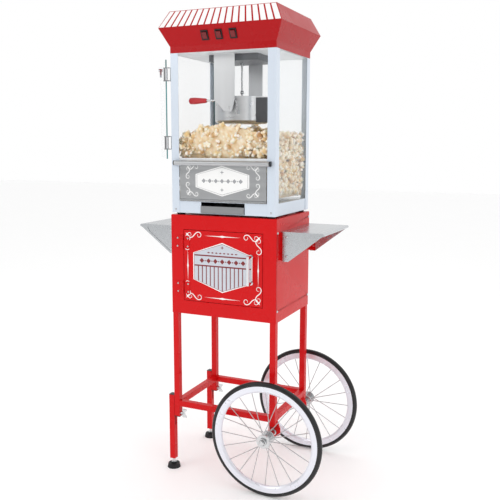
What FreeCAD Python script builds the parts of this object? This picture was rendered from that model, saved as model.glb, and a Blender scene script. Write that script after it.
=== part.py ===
import FreeCAD, Part
import math
import os
import re

import Sketcher

# Popcorn cart: a glass popcorn machine standing on a red cabinet with four tube legs, two spoked
# wheels on its right side and two height-adjustable feet on its left side.
# Millimetres, +Z up, +X to the right of a person facing the cabinet door, -Y towards that person.
# Z = 0 is the floor. Expressions give X and Y from the cabinet's middle, and every finished piece
# is moved by centre_x and centre_y, so that the origin is under the middle of the whole object
# with its glass door standing open.

DIMS = {
    # the whole cart
    "centre_x": 21.035,
    "centre_y": 0.0,
    "sheet": 1.5,
    "gap": 0.3,
    "running_fit": 0.05,
    # cabinet
    "cabinet_width": 380.0,
    "cabinet_depth": 304.0,
    "cabinet_bottom": 565.0,
    "cabinet_top": 900.0,
    "doorway_half": 144.0,
    "doorway_bottom": 611.0,
    "doorway_top": 852.0,
    "doorway_return": 12.0,
    "door_gap": 1.5,
    "door_depth": 14.0,
    "hinge_pin_radius": 1.5,
    "hinge_barrel_radius": 3.5,
    "hinge_height": 42.0,
    "upper_hinge_bottom": 788.0,
    "lower_hinge_bottom": 634.0,
    "hinge_leaf": 22.0,
    "leaf_screw_out": 19.0,
    "leaf_screw_radius": 1.8,
    "handle_x": 103.0,
    "handle_bottom": 686.0,
    "handle_top": 780.0,
    "handle_reach": 26.0,
    "handle_radius": 5.0,
    # legs and lower frame
    "tube": 20.0,
    "tube_wall": 1.5,
    "left_leg_bottom": 194.0,
    "right_leg_bottom": 216.0,
    "stretcher_bottom": 231.0,
    "plug_flange": 2.0,
    "plug_depth": 4.0,
    "extension_gap": 1.0,
    "extension_bottom": 34.0,
    "extension_top": 268.0,
    "slot_bottom": 156.0,
    "slot_top": 247.0,
    "clamp_height": 204.0,
    "clamp_radius": 3.0,
    "wing_length": 30.0,
    "foot_radius": 23.0,
    "foot_height": 14.0,
    "stud_radius": 5.0,
    # wheels
    "axle_x": 176.0,
    "axle_height": 192.0,
    "axle_radius": 6.0,
    "bracket_plate": 6.0,
    "wheel_middle": 198.0,
    "tyre_ring": 183.0,
    "tyre_section": 9.0,
    "rim_inner": 157.0,
    "rim_outer": 178.0,
    "rim_half_width": 8.0,
    "hub_half_length": 28.0,
    "hub_radius": 12.5,
    "hub_recess_radius": 10.5,
    "hub_recess_depth": 6.0,
    "flange_radius": 22.5,
    "flange_offset": 20.0,
    "flange_sheet": 2.5,
    "spoke_circle": 23.0,
    "spoke_radius": 1.3,
    "spokes_per_side": 10.0,
    "spoke_lace": 14.0,
    "nut_radius": 8.5,
    "nut_length": 8.0,
    "washer": 2.5,
    "washer_radius": 11.0,
    # shelves
    "shelf_top": 858.0,
    "shelf_edge": 335.0,
    "shelf_front": 118.0,
    "shelf_rear": 148.0,
    "shelf_bead": 5.0,
    "gusset_inner": 197.0,
    "gusset_foot": 216.0,
    "gusset_bottom": 762.0,
    "gusset_rim": 8.0,
    "gusset_depth": 3.0,
    "bolt_radius": 3.0,
    "bolt_inset": 14.0,
    "bolt_drop": 16.0,
    # machine body
    "machine_width": 370.0,
    "machine_depth": 304.0,
    "machine_bottom": 907.0,
    "deck_height": 946.0,
    "post_width": 28.0,
    "post_corner": 6.0,
    "post_top": 1420.0,
    "glass": 3.0,
    "sill_bottom": 1067.0,
    "sill_top": 1087.0,
    "sill_depth": 12.0,
    "drawer_half": 78.0,
    "drawer_bottom": 909.2,
    "drawer_top": 932.0,
    "drawer_length": 190.0,
    # front flap
    "flap_half": 154.5,
    "flap_bottom": 949.0,
    "flap_axis_y": -160.8,
    "flap_axis_z": 1071.0,
    "flap_bar_radius": 8.0,
    "flap_bar_half": 168.0,
    "flap_pin_radius": 3.0,
    # canopy
    "band_top": 1440.0,
    "eave": 1496.0,
    "eave_out": 27.0,
    "roof_top": 1550.0,
    "switch_pitch": 49.0,
    "switch_x": -2.0,
    "switch_width": 24.0,
    "switch_height": 31.0,
    "bezel_frame": 3.5,
    "bezel_proud": 3.0,
    "rocker_tilt": 9.0,
    # kettle
    "kettle_radius": 90.0,
    "kettle_bottom": 1200.0,
    "kettle_rim": 1284.0,
    "pivot_height": 1250.0,
    "pivot_radius": 4.0,
    "hanger_plane": 104.0,
    "lid_split": -12.0,
    "lid_roll": 1.8,
    "stirrer_radius": 3.0,
    "stirrer_top": 1388.0,
    "housing_bottom": 1398.0,
    "arm_height": 1272.0,
    "arm_plane": 96.5,
    "arm_radius": 3.0,
    "arm_bend": 12.0,
    # popcorn
    "heap_clearance": 160.0,
    "heap_ridge": 110.0,
    # glass door
    "glass_hinge_x": -204.0,
    "glass_hinge_y": -152.0,
    "glass_open": 235.5,
    "glass_inner": 19.0,
    "glass_outer": 358.0,
    "glass_bottom": 1083.0,
    "glass_top": 1404.0,
    "glass_door_sheet": 4.0,
    "upper_clip": 1336.0,
    "lower_clip": 1117.0,
    "clip_height": 37.0,
    "clip_reach": 36.0,
    "catch_height": 1405.0,
    "catch_radius": 9.0,
    "catch_width": 15.0,
    "catch_sheet": 1.5,
}

document = FreeCAD.newDocument("popcorn_cart")
sheet = document.addObject("Spreadsheet::Sheet", "dims")
for row, (alias, value) in enumerate(DIMS.items(), start=1):
    sheet.set(f"A{row}", alias)
    sheet.set(f"B{row}", str(value))
    sheet.setAlias(f"B{row}", alias)
document.recompute()

finished = []


# ---------------------------------------------------------------- expressions

def expression(text):
    """Turn dimension names in an arithmetic text into references to the sheet."""
    def reference(match):
        return "dims." + match.group() if match.group() in DIMS else match.group()
    return re.sub(r"[A-Za-z_]\w*", reference, str(text))


def bind(item, **formulas):
    for name, formula in formulas.items():
        item.setExpression(name, expression(formula))


def bind_place(item, x="0", y="0", z="0"):
    for letter, formula in zip("xyz", (x, y, z)):
        item.setExpression(f".Placement.Base.{letter}", expression(formula))


def size(alias):
    return float(sheet.get(alias))


# ---------------------------------------------------------------- primitives and booleans

def box(low, high):
    """A box between two corners, each corner three formulas."""
    item = document.addObject("Part::Box", "box")
    bind(item, Length=f"({high[0]}) - ({low[0]})", Width=f"({high[1]}) - ({low[1]})",
         Height=f"({high[2]}) - ({low[2]})")
    bind_place(item, *low)
    return item


TURN_TO = {
    "x": FreeCAD.Rotation(FreeCAD.Vector(0, 1, 0), 90),
    "y": FreeCAD.Rotation(FreeCAD.Vector(1, 0, 0), -90),
    "z": FreeCAD.Rotation(),
}


def lay_along(item, axis, x, y, z):
    item.Placement = FreeCAD.Placement(FreeCAD.Vector(), TURN_TO[axis])
    bind_place(item, x, y, z)


def cylinder(axis, start, length, radius):
    """A cylinder from its start point along the +x, +y or +z axis."""
    item = document.addObject("Part::Cylinder", "cylinder")
    bind(item, Radius=radius, Height=length)
    lay_along(item, axis, *start)
    return item


def cone(axis, start, length, radius_start, radius_end):
    item = document.addObject("Part::Cone", "cone")
    bind(item, Radius1=radius_start, Radius2=radius_end, Height=length)
    lay_along(item, axis, *start)
    return item


def ball(x, y, z, radius):
    item = document.addObject("Part::Sphere", "ball")
    bind(item, Radius=radius)
    bind_place(item, x, y, z)
    return item


def fuse(*items):
    result = document.addObject("Part::MultiFuse", "fuse")
    result.Shapes = list(items)
    result.Refine = True
    return result


def group(*items):
    result = document.addObject("Part::Compound", "group")
    result.Links = list(items)
    return result


def cut(base, *tools):
    result = document.addObject("Part::Cut", "cut")
    result.Base = base
    result.Tool = tools[0] if len(tools) == 1 else fuse(*tools)
    return result


def mirror(item, normal):
    result = document.addObject("Part::Mirroring", "mirror")
    result.Source = item
    result.Normal = normal
    return result


def finish(label, *items):
    """Name a finished piece, move it to the object's own origin and keep it for export."""
    result = group(*items)
    result.Label = label
    bind_place(result, "centre_x", "centre_y")
    finished.append(result)
    return result


# ---------------------------------------------------------------- sketched bodies

def new_body(name):
    return document.addObject("PartDesign::Body", name)


def origin_plane(body, role):
    return next(item for item in body.Origin.OriginFeatures if item.Role == role)


def new_sketch(body, role, offset):
    sketch = body.newObject("Sketcher::SketchObject", "sketch")
    sketch.AttachmentSupport = (origin_plane(body, role), "")
    sketch.MapMode = "FlatFace"
    sketch.setExpression("AttachmentOffset.Base.z", expression(offset))
    return sketch


def place_point(sketch, curve, point, x, y):
    """Hold one point of a sketch curve at formulas measured from the sketch origin."""
    for kind, formula in (("DistanceX", x), ("DistanceY", y)):
        index = sketch.addConstraint(Sketcher.Constraint(kind, -1, 1, curve, point, 1.0))
        sketch.setExpression(f"Constraints[{index}]", expression(formula))


def outline(body, role, points, offset="0"):
    """A closed outline of straight lines through the given points."""
    sketch = new_sketch(body, role, offset)
    count = len(points)
    ring = [FreeCAD.Vector(math.cos(2 * math.pi * i / count), math.sin(2 * math.pi * i / count), 0)
            for i in range(count)]
    for i in range(count):
        sketch.addGeometry(Part.LineSegment(ring[i], ring[(i + 1) % count]))
    for i in range(count):
        sketch.addConstraint(Sketcher.Constraint("Coincident", i, 2, (i + 1) % count, 1))
    for i, (x, y) in enumerate(points):
        place_point(sketch, i, 1, x, y)
    return sketch


def rectangle(body, role, low, high, offset="0"):
    corners = [(low[0], low[1]), (high[0], low[1]), (high[0], high[1]), (low[0], high[1])]
    return outline(body, role, corners, offset)


def circles(body, role, centres, radius, offset="0"):
    """Circles of one radius about the given centres."""
    sketch = new_sketch(body, role, offset)
    for i, (x, y) in enumerate(centres):
        sketch.addGeometry(Part.Circle(FreeCAD.Vector(), FreeCAD.Vector(0, 0, 1), 1.0))
        place_point(sketch, i, 3, x, y)
        index = sketch.addConstraint(Sketcher.Constraint("Radius", i, 1.0))
        sketch.setExpression(f"Constraints[{index}]", expression(radius))
    return sketch


def extrude(body, kind, profile, length, reverse=False):
    """A pad or pocket. It runs along the sketch's normal, or against it when reversed."""
    feature = body.newObject(kind, "feature")
    feature.Profile = profile
    feature.setExpression("Length", expression(length))
    against_normal = kind == "PartDesign::Pocket"
    feature.Reversed = reverse != against_normal
    return feature


def pad(body, profile, length, reverse=False):
    return extrude(body, "PartDesign::Pad", profile, length, reverse)


def pocket(body, profile, length, reverse=False):
    return extrude(body, "PartDesign::Pocket", profile, length, reverse)


def revolve(body, profile, role):
    feature = body.newObject("PartDesign::Revolution", "turned")
    feature.Profile = profile
    feature.ReferenceAxis = (origin_plane(body, role), [""])
    feature.Angle = 360
    return feature


def loft(body, kind, first, second):
    feature = body.newObject(kind, "loft")
    feature.Profile = first
    feature.Sections = [second]
    feature.Ruled = True
    return feature


def round_edges(body, chosen, radius):
    """Fillet the edges of the body's last feature that the test chooses."""
    document.recompute()
    base = body.Tip
    names = [f"Edge{i}" for i, edge in enumerate(base.Shape.Edges, start=1) if chosen(edge)]
    fillet = body.newObject("PartDesign::Fillet", "fillet")
    fillet.Base = (base, names)
    fillet.setExpression("Radius", expression(radius))
    return fillet


def runs_along(edge, letter):
    """True for a straight edge parallel to the x, y or z axis."""
    if edge.Curve.TypeId != "Part::GeomLine":
        return False
    return abs(getattr(edge.Curve.Direction, letter)) > 0.999


# ---------------------------------------------------------------- cart frame

LEG_X = "(cabinet_width / 2 - sheet - tube / 2)"
LEG_Y = "(cabinet_depth / 2 - sheet - tube / 2)"
TUBE_BORE = "(tube - 2 * tube_wall)"


def upright_tube(x, y, bottom, top):
    """A square tube, open at both ends, about a vertical line."""
    outer = box((f"{x} - tube / 2", f"{y} - tube / 2", bottom),
                (f"{x} + tube / 2", f"{y} + tube / 2", top))
    inner = box((f"{x} - {TUBE_BORE} / 2", f"{y} - {TUBE_BORE} / 2", f"{bottom} - tube"),
                (f"{x} + {TUBE_BORE} / 2", f"{y} + {TUBE_BORE} / 2", f"{top} + tube"))
    return cut(outer, inner)


def make_legs():
    """Four square tubes up the corners of the cabinet. The left ones have a clamp screw's hole."""
    legs = []
    for end in (-1, 1):
        left = upright_tube(f"-{LEG_X}", f"{end} * {LEG_Y}", "left_leg_bottom",
                            "cabinet_top - sheet")
        clamp_hole = cylinder("x", (f"-{LEG_X} - tube", f"{end} * {LEG_Y}", "clamp_height"),
                              "2 * tube", "clamp_radius + running_fit")
        legs.append(cut(left, clamp_hole))
        legs.append(upright_tube(LEG_X, f"{end} * {LEG_Y}", "right_leg_bottom",
                                 "cabinet_top - sheet"))
    finish("legs", *legs)


def make_tube_plugs():
    """Black plastic plugs that close the lower ends of the four legs."""
    plugs = []
    for side, bottom in ((-1, "left_leg_bottom"), (1, "right_leg_bottom")):
        for end in (-1, 1):
            x = f"{side} * {LEG_X}"
            y = f"{end} * {LEG_Y}"
            flange = box((f"{x} - tube / 2", f"{y} - tube / 2", f"{bottom} - plug_flange"),
                         (f"{x} + tube / 2", f"{y} + tube / 2", bottom))
            boss = box((f"{x} - {TUBE_BORE} / 2 + gap", f"{y} - {TUBE_BORE} / 2 + gap", bottom),
                       (f"{x} + {TUBE_BORE} / 2 - gap", f"{y} + {TUBE_BORE} / 2 - gap",
                        f"{bottom} + plug_depth"))
            plugs.append(fuse(flange, boss))
    finish("leg_tube_plugs", *plugs)


def make_stretchers():
    """Four lower tubes welded between the legs."""
    tubes = []
    inside_x = f"({LEG_X} - tube / 2)"
    inside_y = f"({LEG_Y} - tube / 2)"
    top = "stretcher_bottom + tube"
    for end in (-1, 1):
        y = f"{end} * {LEG_Y}"
        outer = box((f"-{inside_x}", f"{y} - tube / 2", "stretcher_bottom"),
                    (inside_x, f"{y} + tube / 2", top))
        inner = box((f"-{inside_x} - tube", f"{y} - {TUBE_BORE} / 2", "stretcher_bottom + tube_wall"),
                    (f"{inside_x} + tube", f"{y} + {TUBE_BORE} / 2", f"{top} - tube_wall"))
        tubes.append(cut(outer, inner))
    for side in (-1, 1):
        x = f"{side} * {LEG_X}"
        outer = box((f"{x} - tube / 2", f"-{inside_y}", "stretcher_bottom"),
                    (f"{x} + tube / 2", inside_y, top))
        inner = box((f"{x} - {TUBE_BORE} / 2", f"-{inside_y} - tube", "stretcher_bottom + tube_wall"),
                    (f"{x} + {TUBE_BORE} / 2", f"{inside_y} + tube", f"{top} - tube_wall"))
        tubes.append(cut(outer, inner))
    finish("lower_stretchers", *tubes)


EXTENSION_X = f"(-{LEG_X} - tube - extension_gap)"


def make_leg_extension(name, end):
    """A tube that slides beside a left leg, with a capped top and a slot for the clamp screw."""
    y = f"{end} * {LEG_Y}"
    tube = upright_tube(EXTENSION_X, y, "extension_bottom", "extension_top")
    slot = box((EXTENSION_X, f"{y} - clamp_radius - gap", "slot_bottom"),
               (f"{EXTENSION_X} + tube", f"{y} + clamp_radius + gap", "slot_top"))
    cap = box((f"{EXTENSION_X} - tube / 2", f"{y} - tube / 2", "extension_top"),
              (f"{EXTENSION_X} + tube / 2", f"{y} + tube / 2", "extension_top + plug_flange"))
    bottom = box((f"{EXTENSION_X} - {TUBE_BORE} / 2", f"{y} - {TUBE_BORE} / 2", "extension_bottom"),
                 (f"{EXTENSION_X} + {TUBE_BORE} / 2", f"{y} + {TUBE_BORE} / 2",
                  "extension_bottom + plug_depth"))
    stud_hole = cylinder("z", (EXTENSION_X, y, "extension_bottom - tube"), "2 * tube",
                         "stud_radius + running_fit")
    finish(name, cut(tube, slot), cap, cut(bottom, stud_hole))


def make_levelling_foot(name, end):
    """A threaded stud standing on a round foot pad."""
    y = f"{end} * {LEG_Y}"
    pad_disc = cone("z", (EXTENSION_X, y, "0"), "foot_height", "foot_radius", "foot_radius * 0.86")
    neck = cylinder("z", (EXTENSION_X, y, "foot_height"), "6", "foot_radius * 0.4")
    stud = cylinder("z", (EXTENSION_X, y, "foot_height + 6"), "extension_bottom + 2", "stud_radius")
    finish(name, fuse(pad_disc, neck), stud)


def make_clamp_screw(name, end):
    """A wing screw through the leg, whose captive end disc pulls the extension against it."""
    y = f"{end} * {LEG_Y}"
    inboard = f"(-{LEG_X} + tube / 2)"
    inner_wall = f"({EXTENSION_X} + tube / 2 - tube_wall)"
    shank = cylinder("x", (f"{inner_wall} - 4", y, "clamp_height"),
                     f"{inboard} + 6 - {inner_wall}", "clamp_radius")
    disc = cylinder("x", (f"{inner_wall} - 4", y, "clamp_height"), "4 - gap", "clamp_radius * 2.6")
    collar = cylinder("x", (f"{inboard} + gap", y, "clamp_height"), "8", "clamp_radius * 2")
    wing = box((f"{inboard} + 6", f"{y} - 1.5", "clamp_height - wing_length / 2"),
               (f"{inboard} + 22", f"{y} + 1.5", "clamp_height + wing_length / 2"))
    notch = cylinder("y", (f"{inboard} + 26", f"{y} - 5", "clamp_height"), "10", "wing_length / 3")
    finish(name, fuse(shank, disc, collar, cut(wing, notch)))


# ---------------------------------------------------------------- wheels

def make_axle_brackets():
    """Lug plates welded under the right stretcher that carry the axle."""
    outer = "axle_x + 23"
    points = [("axle_x - 18", "stretcher_bottom"), (f"{LEG_X} + tube / 2", "stretcher_bottom"),
              (outer, "axle_height + 12"), (outer, "axle_height - 8"),
              ("axle_x + 8", "axle_height - 16"), ("axle_x - 10", "axle_height - 14"),
              ("axle_x - 18", "axle_height + 2")]
    plates = []
    for end in (-1, 1):
        body = new_body("bracket")
        start = f"{LEG_Y} - tube / 2"
        near = f"-{end} * ({start} - bracket_plate / 2) - bracket_plate / 2"
        pad(body, outline(body, "XZ_Plane", points, near), "bracket_plate")
        pocket(body, circles(body, "XZ_Plane", [("axle_x", "axle_height")],
                             "axle_radius + running_fit", near), "bracket_plate")
        plates.append(body)
    finish("axle_brackets", *plates)


def make_stub_axles():
    """One stub axle for each wheel: rod, inboard nut, spacer with two washers, and cap nut."""
    plate_in = f"({LEG_Y} - tube / 2 - bracket_plate)"
    plate_out = f"({LEG_Y} - tube / 2)"
    hub_in = "(wheel_middle - hub_half_length - gap)"
    cap_in = "(wheel_middle + hub_half_length + gap - hub_recess_depth)"
    turned = [
        (f"{plate_in} - nut_length - 2", f"{cap_in} + nut_length + 3", "axle_radius"),
        (f"{plate_in} - nut_length", plate_in, "nut_radius"),
        (plate_out, f"{plate_out} + washer", "washer_radius"),
        (f"{plate_out} + washer", f"{hub_in} - washer", "nut_radius"),
        (f"{hub_in} - washer", hub_in, "washer_radius"),
        (cap_in, f"{cap_in} + nut_length", "nut_radius"),
    ]
    axles = []
    for end in (-1, 1):
        rings = []
        for near, far, radius in turned:
            start = near if end > 0 else f"-({far})"
            rings.append(cylinder("y", ("axle_x", start, "axle_height"), f"({far}) - ({near})", radius))
        axles.append(fuse(*rings))
    finish("wheel_stub_axles", *axles)


def make_rim(name, middle):
    body = new_body("rim")
    low = "rim_inner"
    shoulder = "rim_inner + 5"
    half = "rim_half_width"
    points = [(low, f"-{half} * 0.55"), (shoulder, f"-{half}"), ("rim_outer", f"-{half}"),
              ("rim_outer", half), (shoulder, half), (low, f"{half} * 0.55")]
    revolve(body, outline(body, "XZ_Plane", points), "Z_Axis")
    lay_along(body, "y", "axle_x", middle, "axle_height")
    finish(name, body)


def make_tyre(name, middle):
    ring = document.addObject("Part::Torus", "torus")
    bind(ring, Radius1="tyre_ring", Radius2="tyre_section")
    lay_along(ring, "y", "axle_x", middle, "axle_height")
    inside = cylinder("y", ("axle_x", f"{middle} - 2 * tyre_section", "axle_height"),
                      "4 * tyre_section", "rim_outer")
    finish(name, cut(ring, inside))


def spoke(middle, flange, number):
    """One straight spoke from a hub flange to the rim's middle, as a cylinder between two points."""
    pitch = 360 / size("spokes_per_side")
    rim_angle = math.radians(pitch * (number + 0.25 * (flange + 1)))
    lace = size("spoke_lace") * (1 if number % 2 else -1)
    hub_angle = rim_angle + math.radians(lace)
    hub_reach = size("spoke_circle")
    rim_reach = size("rim_inner")
    start = FreeCAD.Vector(hub_reach * math.cos(hub_angle), hub_reach * math.sin(hub_angle),
                           flange * size("flange_offset"))
    end = FreeCAD.Vector(rim_reach * math.cos(rim_angle), rim_reach * math.sin(rim_angle), 0)
    clear_of_rim = 0.2
    run = end - start
    run.Length = run.Length - clear_of_rim
    item = document.addObject("Part::Cylinder", "spoke")
    bind(item, Radius="spoke_radius")
    item.Height = run.Length
    turn = FreeCAD.Placement(FreeCAD.Vector(size("axle_x"), middle, size("axle_height")),
                             TURN_TO["y"])
    item.Placement = turn * FreeCAD.Placement(start, FreeCAD.Rotation(FreeCAD.Vector(0, 0, 1), run))
    return item


def make_hub(name, side):
    """Hub shell with two flanges, and its spokes."""
    middle = f"{side} * wheel_middle"
    shell = cylinder("y", ("axle_x", f"{middle} - hub_half_length", "axle_height"),
                     "2 * hub_half_length", "hub_radius")
    flanges = [cylinder("y", ("axle_x", f"{middle} + {place} * flange_offset - flange_sheet / 2",
                              "axle_height"), "flange_sheet", "flange_radius")
               for place in (-1, 1)]
    bore = cylinder("y", ("axle_x", f"{middle} - 2 * hub_half_length", "axle_height"),
                    "4 * hub_half_length", "axle_radius + running_fit")
    recess_middle = f"({middle} + {side} * (hub_half_length - hub_recess_depth / 2))"
    recess = cylinder("y", ("axle_x", f"{recess_middle} - hub_recess_depth / 2", "axle_height"),
                      "hub_recess_depth", "hub_recess_radius")
    spokes = [spoke(side * size("wheel_middle"), flange, number)
              for flange in (-1, 1) for number in range(int(size("spokes_per_side")))]
    finish(name, cut(fuse(shell, *flanges), bore, recess), *spokes)


# ---------------------------------------------------------------- cabinet

WALL_X = "(cabinet_width / 2)"
WALL_Y = "(cabinet_depth / 2)"
SCREW_ROWS = {-1: ("cabinet_bottom + 38", "cabinet_top - 45"), 1: ("cabinet_bottom + 38", "cabinet_top - 18")}
SCREW_Y = "(cabinet_depth / 2 - 9)"
BOLT_HEIGHTS = ("shelf_top - bolt_drop", "gusset_bottom + bolt_drop + sheet")
BOLT_X = "(gusset_inner + bolt_inset)"


def make_side_panel(name, side):
    """A side wall with its screw holes and the two welded strips that carry the shelf."""
    wall = f"{side} * ({WALL_X} - sheet / 2)"
    panel = box((f"{wall} - sheet / 2", f"-{WALL_Y} + sheet", "cabinet_bottom"),
                (f"{wall} + sheet / 2", f"{WALL_Y} - sheet", "cabinet_top - sheet"))
    holes = [cylinder("x", (f"{wall} - sheet", f"{end} * {SCREW_Y}", height), "2 * sheet", "2.1")
             for end, rows in SCREW_ROWS.items() for height in rows]
    strips = []
    strip_middle = f"{side} * ({WALL_X} + gusset_foot + 2) / 2"
    strip_half = f"((gusset_foot + 2 - {WALL_X}) / 2)"
    for face in ("-shelf_front + gusset_depth", "shelf_rear - gusset_depth - 2"):
        strip = box((f"{strip_middle} - {strip_half}", face, "gusset_bottom + 2"),
                    (f"{strip_middle} + {strip_half}", f"{face} + 2", "shelf_top - sheet"))
        bolts = [cylinder("y", (f"{side} * {BOLT_X}", f"{face} - 5", height), "12",
                          "bolt_radius + 2 * running_fit")
                 for height in BOLT_HEIGHTS]
        strips.append(cut(strip, *bolts))
    finish(name, fuse(cut(panel, *holes), *strips))


def make_rear_panel():
    finish("cabinet_rear_panel",
           box((f"-{WALL_X}", f"{WALL_Y} - sheet", "cabinet_bottom"),
               (WALL_X, WALL_Y, "cabinet_top - sheet")))


def make_top_panel():
    body = new_body("top")
    pad(body, rectangle(body, "XY_Plane", (f"-{WALL_X}", f"-{WALL_Y}"), (WALL_X, WALL_Y),
                        "cabinet_top - sheet"), "sheet")
    round_edges(body, lambda edge: runs_along(edge, "z"), "4")
    finish("cabinet_top_panel", body)


def make_floor():
    inner_x = f"({WALL_X} - sheet)"
    inner_y = f"({WALL_Y} - sheet)"
    plate = box((f"-{inner_x}", f"-{inner_y}", "cabinet_bottom"),
                (inner_x, inner_y, "cabinet_bottom + sheet"))
    notches = [box((f"{side} * {LEG_X} - tube / 2 - gap", f"{end} * {LEG_Y} - tube / 2 - gap",
                    "cabinet_bottom - sheet"),
                   (f"{side} * {LEG_X} + tube / 2 + gap", f"{end} * {LEG_Y} + tube / 2 + gap",
                    "cabinet_bottom + 3 * sheet"))
               for side in (-1, 1) for end in (-1, 1)]
    finish("cabinet_floor", cut(plate, *notches))


def make_front_frame():
    """The front sheet around the doorway, with an inward return on all four sides."""
    body = new_body("front")
    pad(body, rectangle(body, "XZ_Plane", (f"-{WALL_X}", "cabinet_bottom"),
                        (WALL_X, "cabinet_top - sheet"), f"{WALL_Y} - sheet"), "sheet")
    pad(body, rectangle(body, "XZ_Plane", ("-doorway_half - sheet", "doorway_bottom - sheet"),
                        ("doorway_half + sheet", "doorway_top + sheet"),
                        f"{WALL_Y} - doorway_return"), "doorway_return - sheet / 2")
    pocket(body, rectangle(body, "XZ_Plane", ("-doorway_half", "doorway_bottom"),
                           ("doorway_half", "doorway_top"), f"{WALL_Y} - 2 * doorway_return"),
           "3 * doorway_return")
    finish("cabinet_front_frame", body)


def dome_screw(axis, start, facing, radius, shank, shank_radius):
    """A low dome head on a short shank: facing is +1 or -1 along the axis it is driven from."""
    x, y, z = start
    index = "xyz".index(axis)
    head = ball(x, y, z, radius)
    keep_half = [f"({value}) - 2 * {radius}" for value in start]
    far = [f"({value}) + 2 * {radius}" for value in start]
    if facing > 0:
        keep_half[index] = start[index]
    else:
        far[index] = start[index]
    dome = document.addObject("Part::MultiCommon", "dome")
    dome.Shapes = [head, box(keep_half, far)]
    shank_start = list(start)
    if facing > 0:
        shank_start[index] = f"({start[index]}) - {shank}"
    return fuse(dome, cylinder(axis, shank_start, shank, shank_radius))


def make_screws():
    """The dome screws in the side walls, the shelf bolts and the screws at the posts' feet."""
    screws = []
    for side in (-1, 1):
        for end, rows in SCREW_ROWS.items():
            for height in rows:
                start = (f"{side} * {WALL_X}", f"{end} * {SCREW_Y}", height)
                screws.append(dome_screw("x", start, side, "3.8", "sheet", "2"))
        for face, facing in (("-shelf_front + gusset_depth - sheet", -1),
                             ("shelf_rear - gusset_depth + sheet", 1)):
            for height in BOLT_HEIGHTS:
                start = (f"{side} * {BOLT_X}", face, height)
                screws.append(dome_screw("y", start, facing, "4.6", "gusset_depth", "bolt_radius"))
        for end in (-1, 1):
            start = (f"{side} * (machine_width / 2 - post_width / 2)", f"{end} * machine_depth / 2",
                     "machine_bottom + 12")
            screws.append(dome_screw("y", start, end, "3.2", "sheet", "1.6"))
    finish("dome_screws", *screws)


# ---------------------------------------------------------------- cabinet door

HINGE_X = "(-doorway_half - door_gap - 0.5)"
HINGE_Y = "(-cabinet_depth / 2 - hinge_barrel_radius)"
HINGE_BOTTOMS = ("upper_hinge_bottom", "lower_hinge_bottom")
KNUCKLE = "(hinge_height / 3)"
LEAF_SCREW_PLACES = ("0.18 * hinge_height", "0.82 * hinge_height")


def hinge_knuckle(bottom, height, leaf_side):
    """A short barrel joined to its leaf by a tab."""
    barrel = cylinder("z", (HINGE_X, HINGE_Y, bottom), height, "hinge_barrel_radius")
    edge = f"{HINGE_X} + {leaf_side} * (hinge_barrel_radius + 1)"
    low, high = (edge, HINGE_X) if leaf_side < 0 else (HINGE_X, edge)
    tab = box((low, f"-{WALL_Y} - sheet", bottom), (high, f"-{WALL_Y}", f"{bottom} + {height}"))
    return fuse(barrel, tab)


def leaf_screws(bottom, leaf_side):
    x = f"{HINGE_X} + {leaf_side} * leaf_screw_out"
    return [dome_screw("y", (x, f"-{WALL_Y} - sheet", f"{bottom} + {place}"), -1,
                       "3.4", "sheet", "leaf_screw_radius") for place in LEAF_SCREW_PLACES]


def hinge_leaf(bottom, leaf_side, knuckles):
    """One leaf: a plate, its knuckles with the pin's bore, and its screws' holes."""
    near = f"{HINGE_X} + {leaf_side} * (hinge_barrel_radius + 1)"
    far = f"{HINGE_X} + {leaf_side} * (hinge_leaf + 3)"
    low, high = (far, near) if leaf_side < 0 else (near, far)
    plate = box((low, f"-{WALL_Y} - sheet", bottom),
                (high, f"-{WALL_Y}", f"{bottom} + hinge_height"))
    barrels = [hinge_knuckle(start, height, leaf_side) for start, height in knuckles]
    bore = cylinder("z", (HINGE_X, HINGE_Y, f"{bottom} - 5"), "hinge_height + 10",
                    "hinge_pin_radius + running_fit")
    x = f"{HINGE_X} + {leaf_side} * leaf_screw_out"
    holes = [cylinder("y", (x, f"-{WALL_Y} - 2 * sheet", f"{bottom} + {place}"), "4 * sheet",
                      "leaf_screw_radius + running_fit") for place in LEAF_SCREW_PLACES]
    return cut(fuse(plate, *barrels), bore, *holes)


def make_hinges():
    """Two butt hinges: fixed leaves and pins on the frame, moving leaves on the door."""
    fixed = []
    moving = []
    for bottom in HINGE_BOTTOMS:
        ends = [(bottom, f"({KNUCKLE} - gap / 2)"),
                (f"{bottom} + 2 * {KNUCKLE} + gap / 2", f"({KNUCKLE} - gap / 2)")]
        middle = [(f"{bottom} + {KNUCKLE} + gap / 2", f"({KNUCKLE} - gap)")]
        fixed.append(hinge_leaf(bottom, -1, ends))
        fixed.append(cylinder("z", (HINGE_X, HINGE_Y, f"{bottom} - 1"), "hinge_height + 2",
                              "hinge_pin_radius"))
        moving.append(hinge_leaf(bottom, 1, middle))
        fixed.extend(leaf_screws(bottom, -1))
        moving.extend(leaf_screws(bottom, 1))
    finish("cabinet_hinge_leaves", *fixed)
    finish("door_hinge_leaves", *moving)


def make_cabinet_door():
    """A folded sheet tray that closes the doorway flush with the front."""
    body = new_body("door")
    low = ("-doorway_half + door_gap", "doorway_bottom + door_gap")
    high = ("doorway_half - door_gap", "doorway_top - door_gap")
    pad(body, rectangle(body, "XZ_Plane", low, high, f"{WALL_Y} - door_depth"), "door_depth")
    inner_low = (f"{low[0]} + sheet", f"{low[1]} + sheet")
    inner_high = (f"{high[0]} - sheet", f"{high[1]} - sheet")
    pocket(body, rectangle(body, "XZ_Plane", inner_low, inner_high, f"{WALL_Y} - door_depth"),
           "door_depth - sheet")
    finish("cabinet_door", body)


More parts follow.
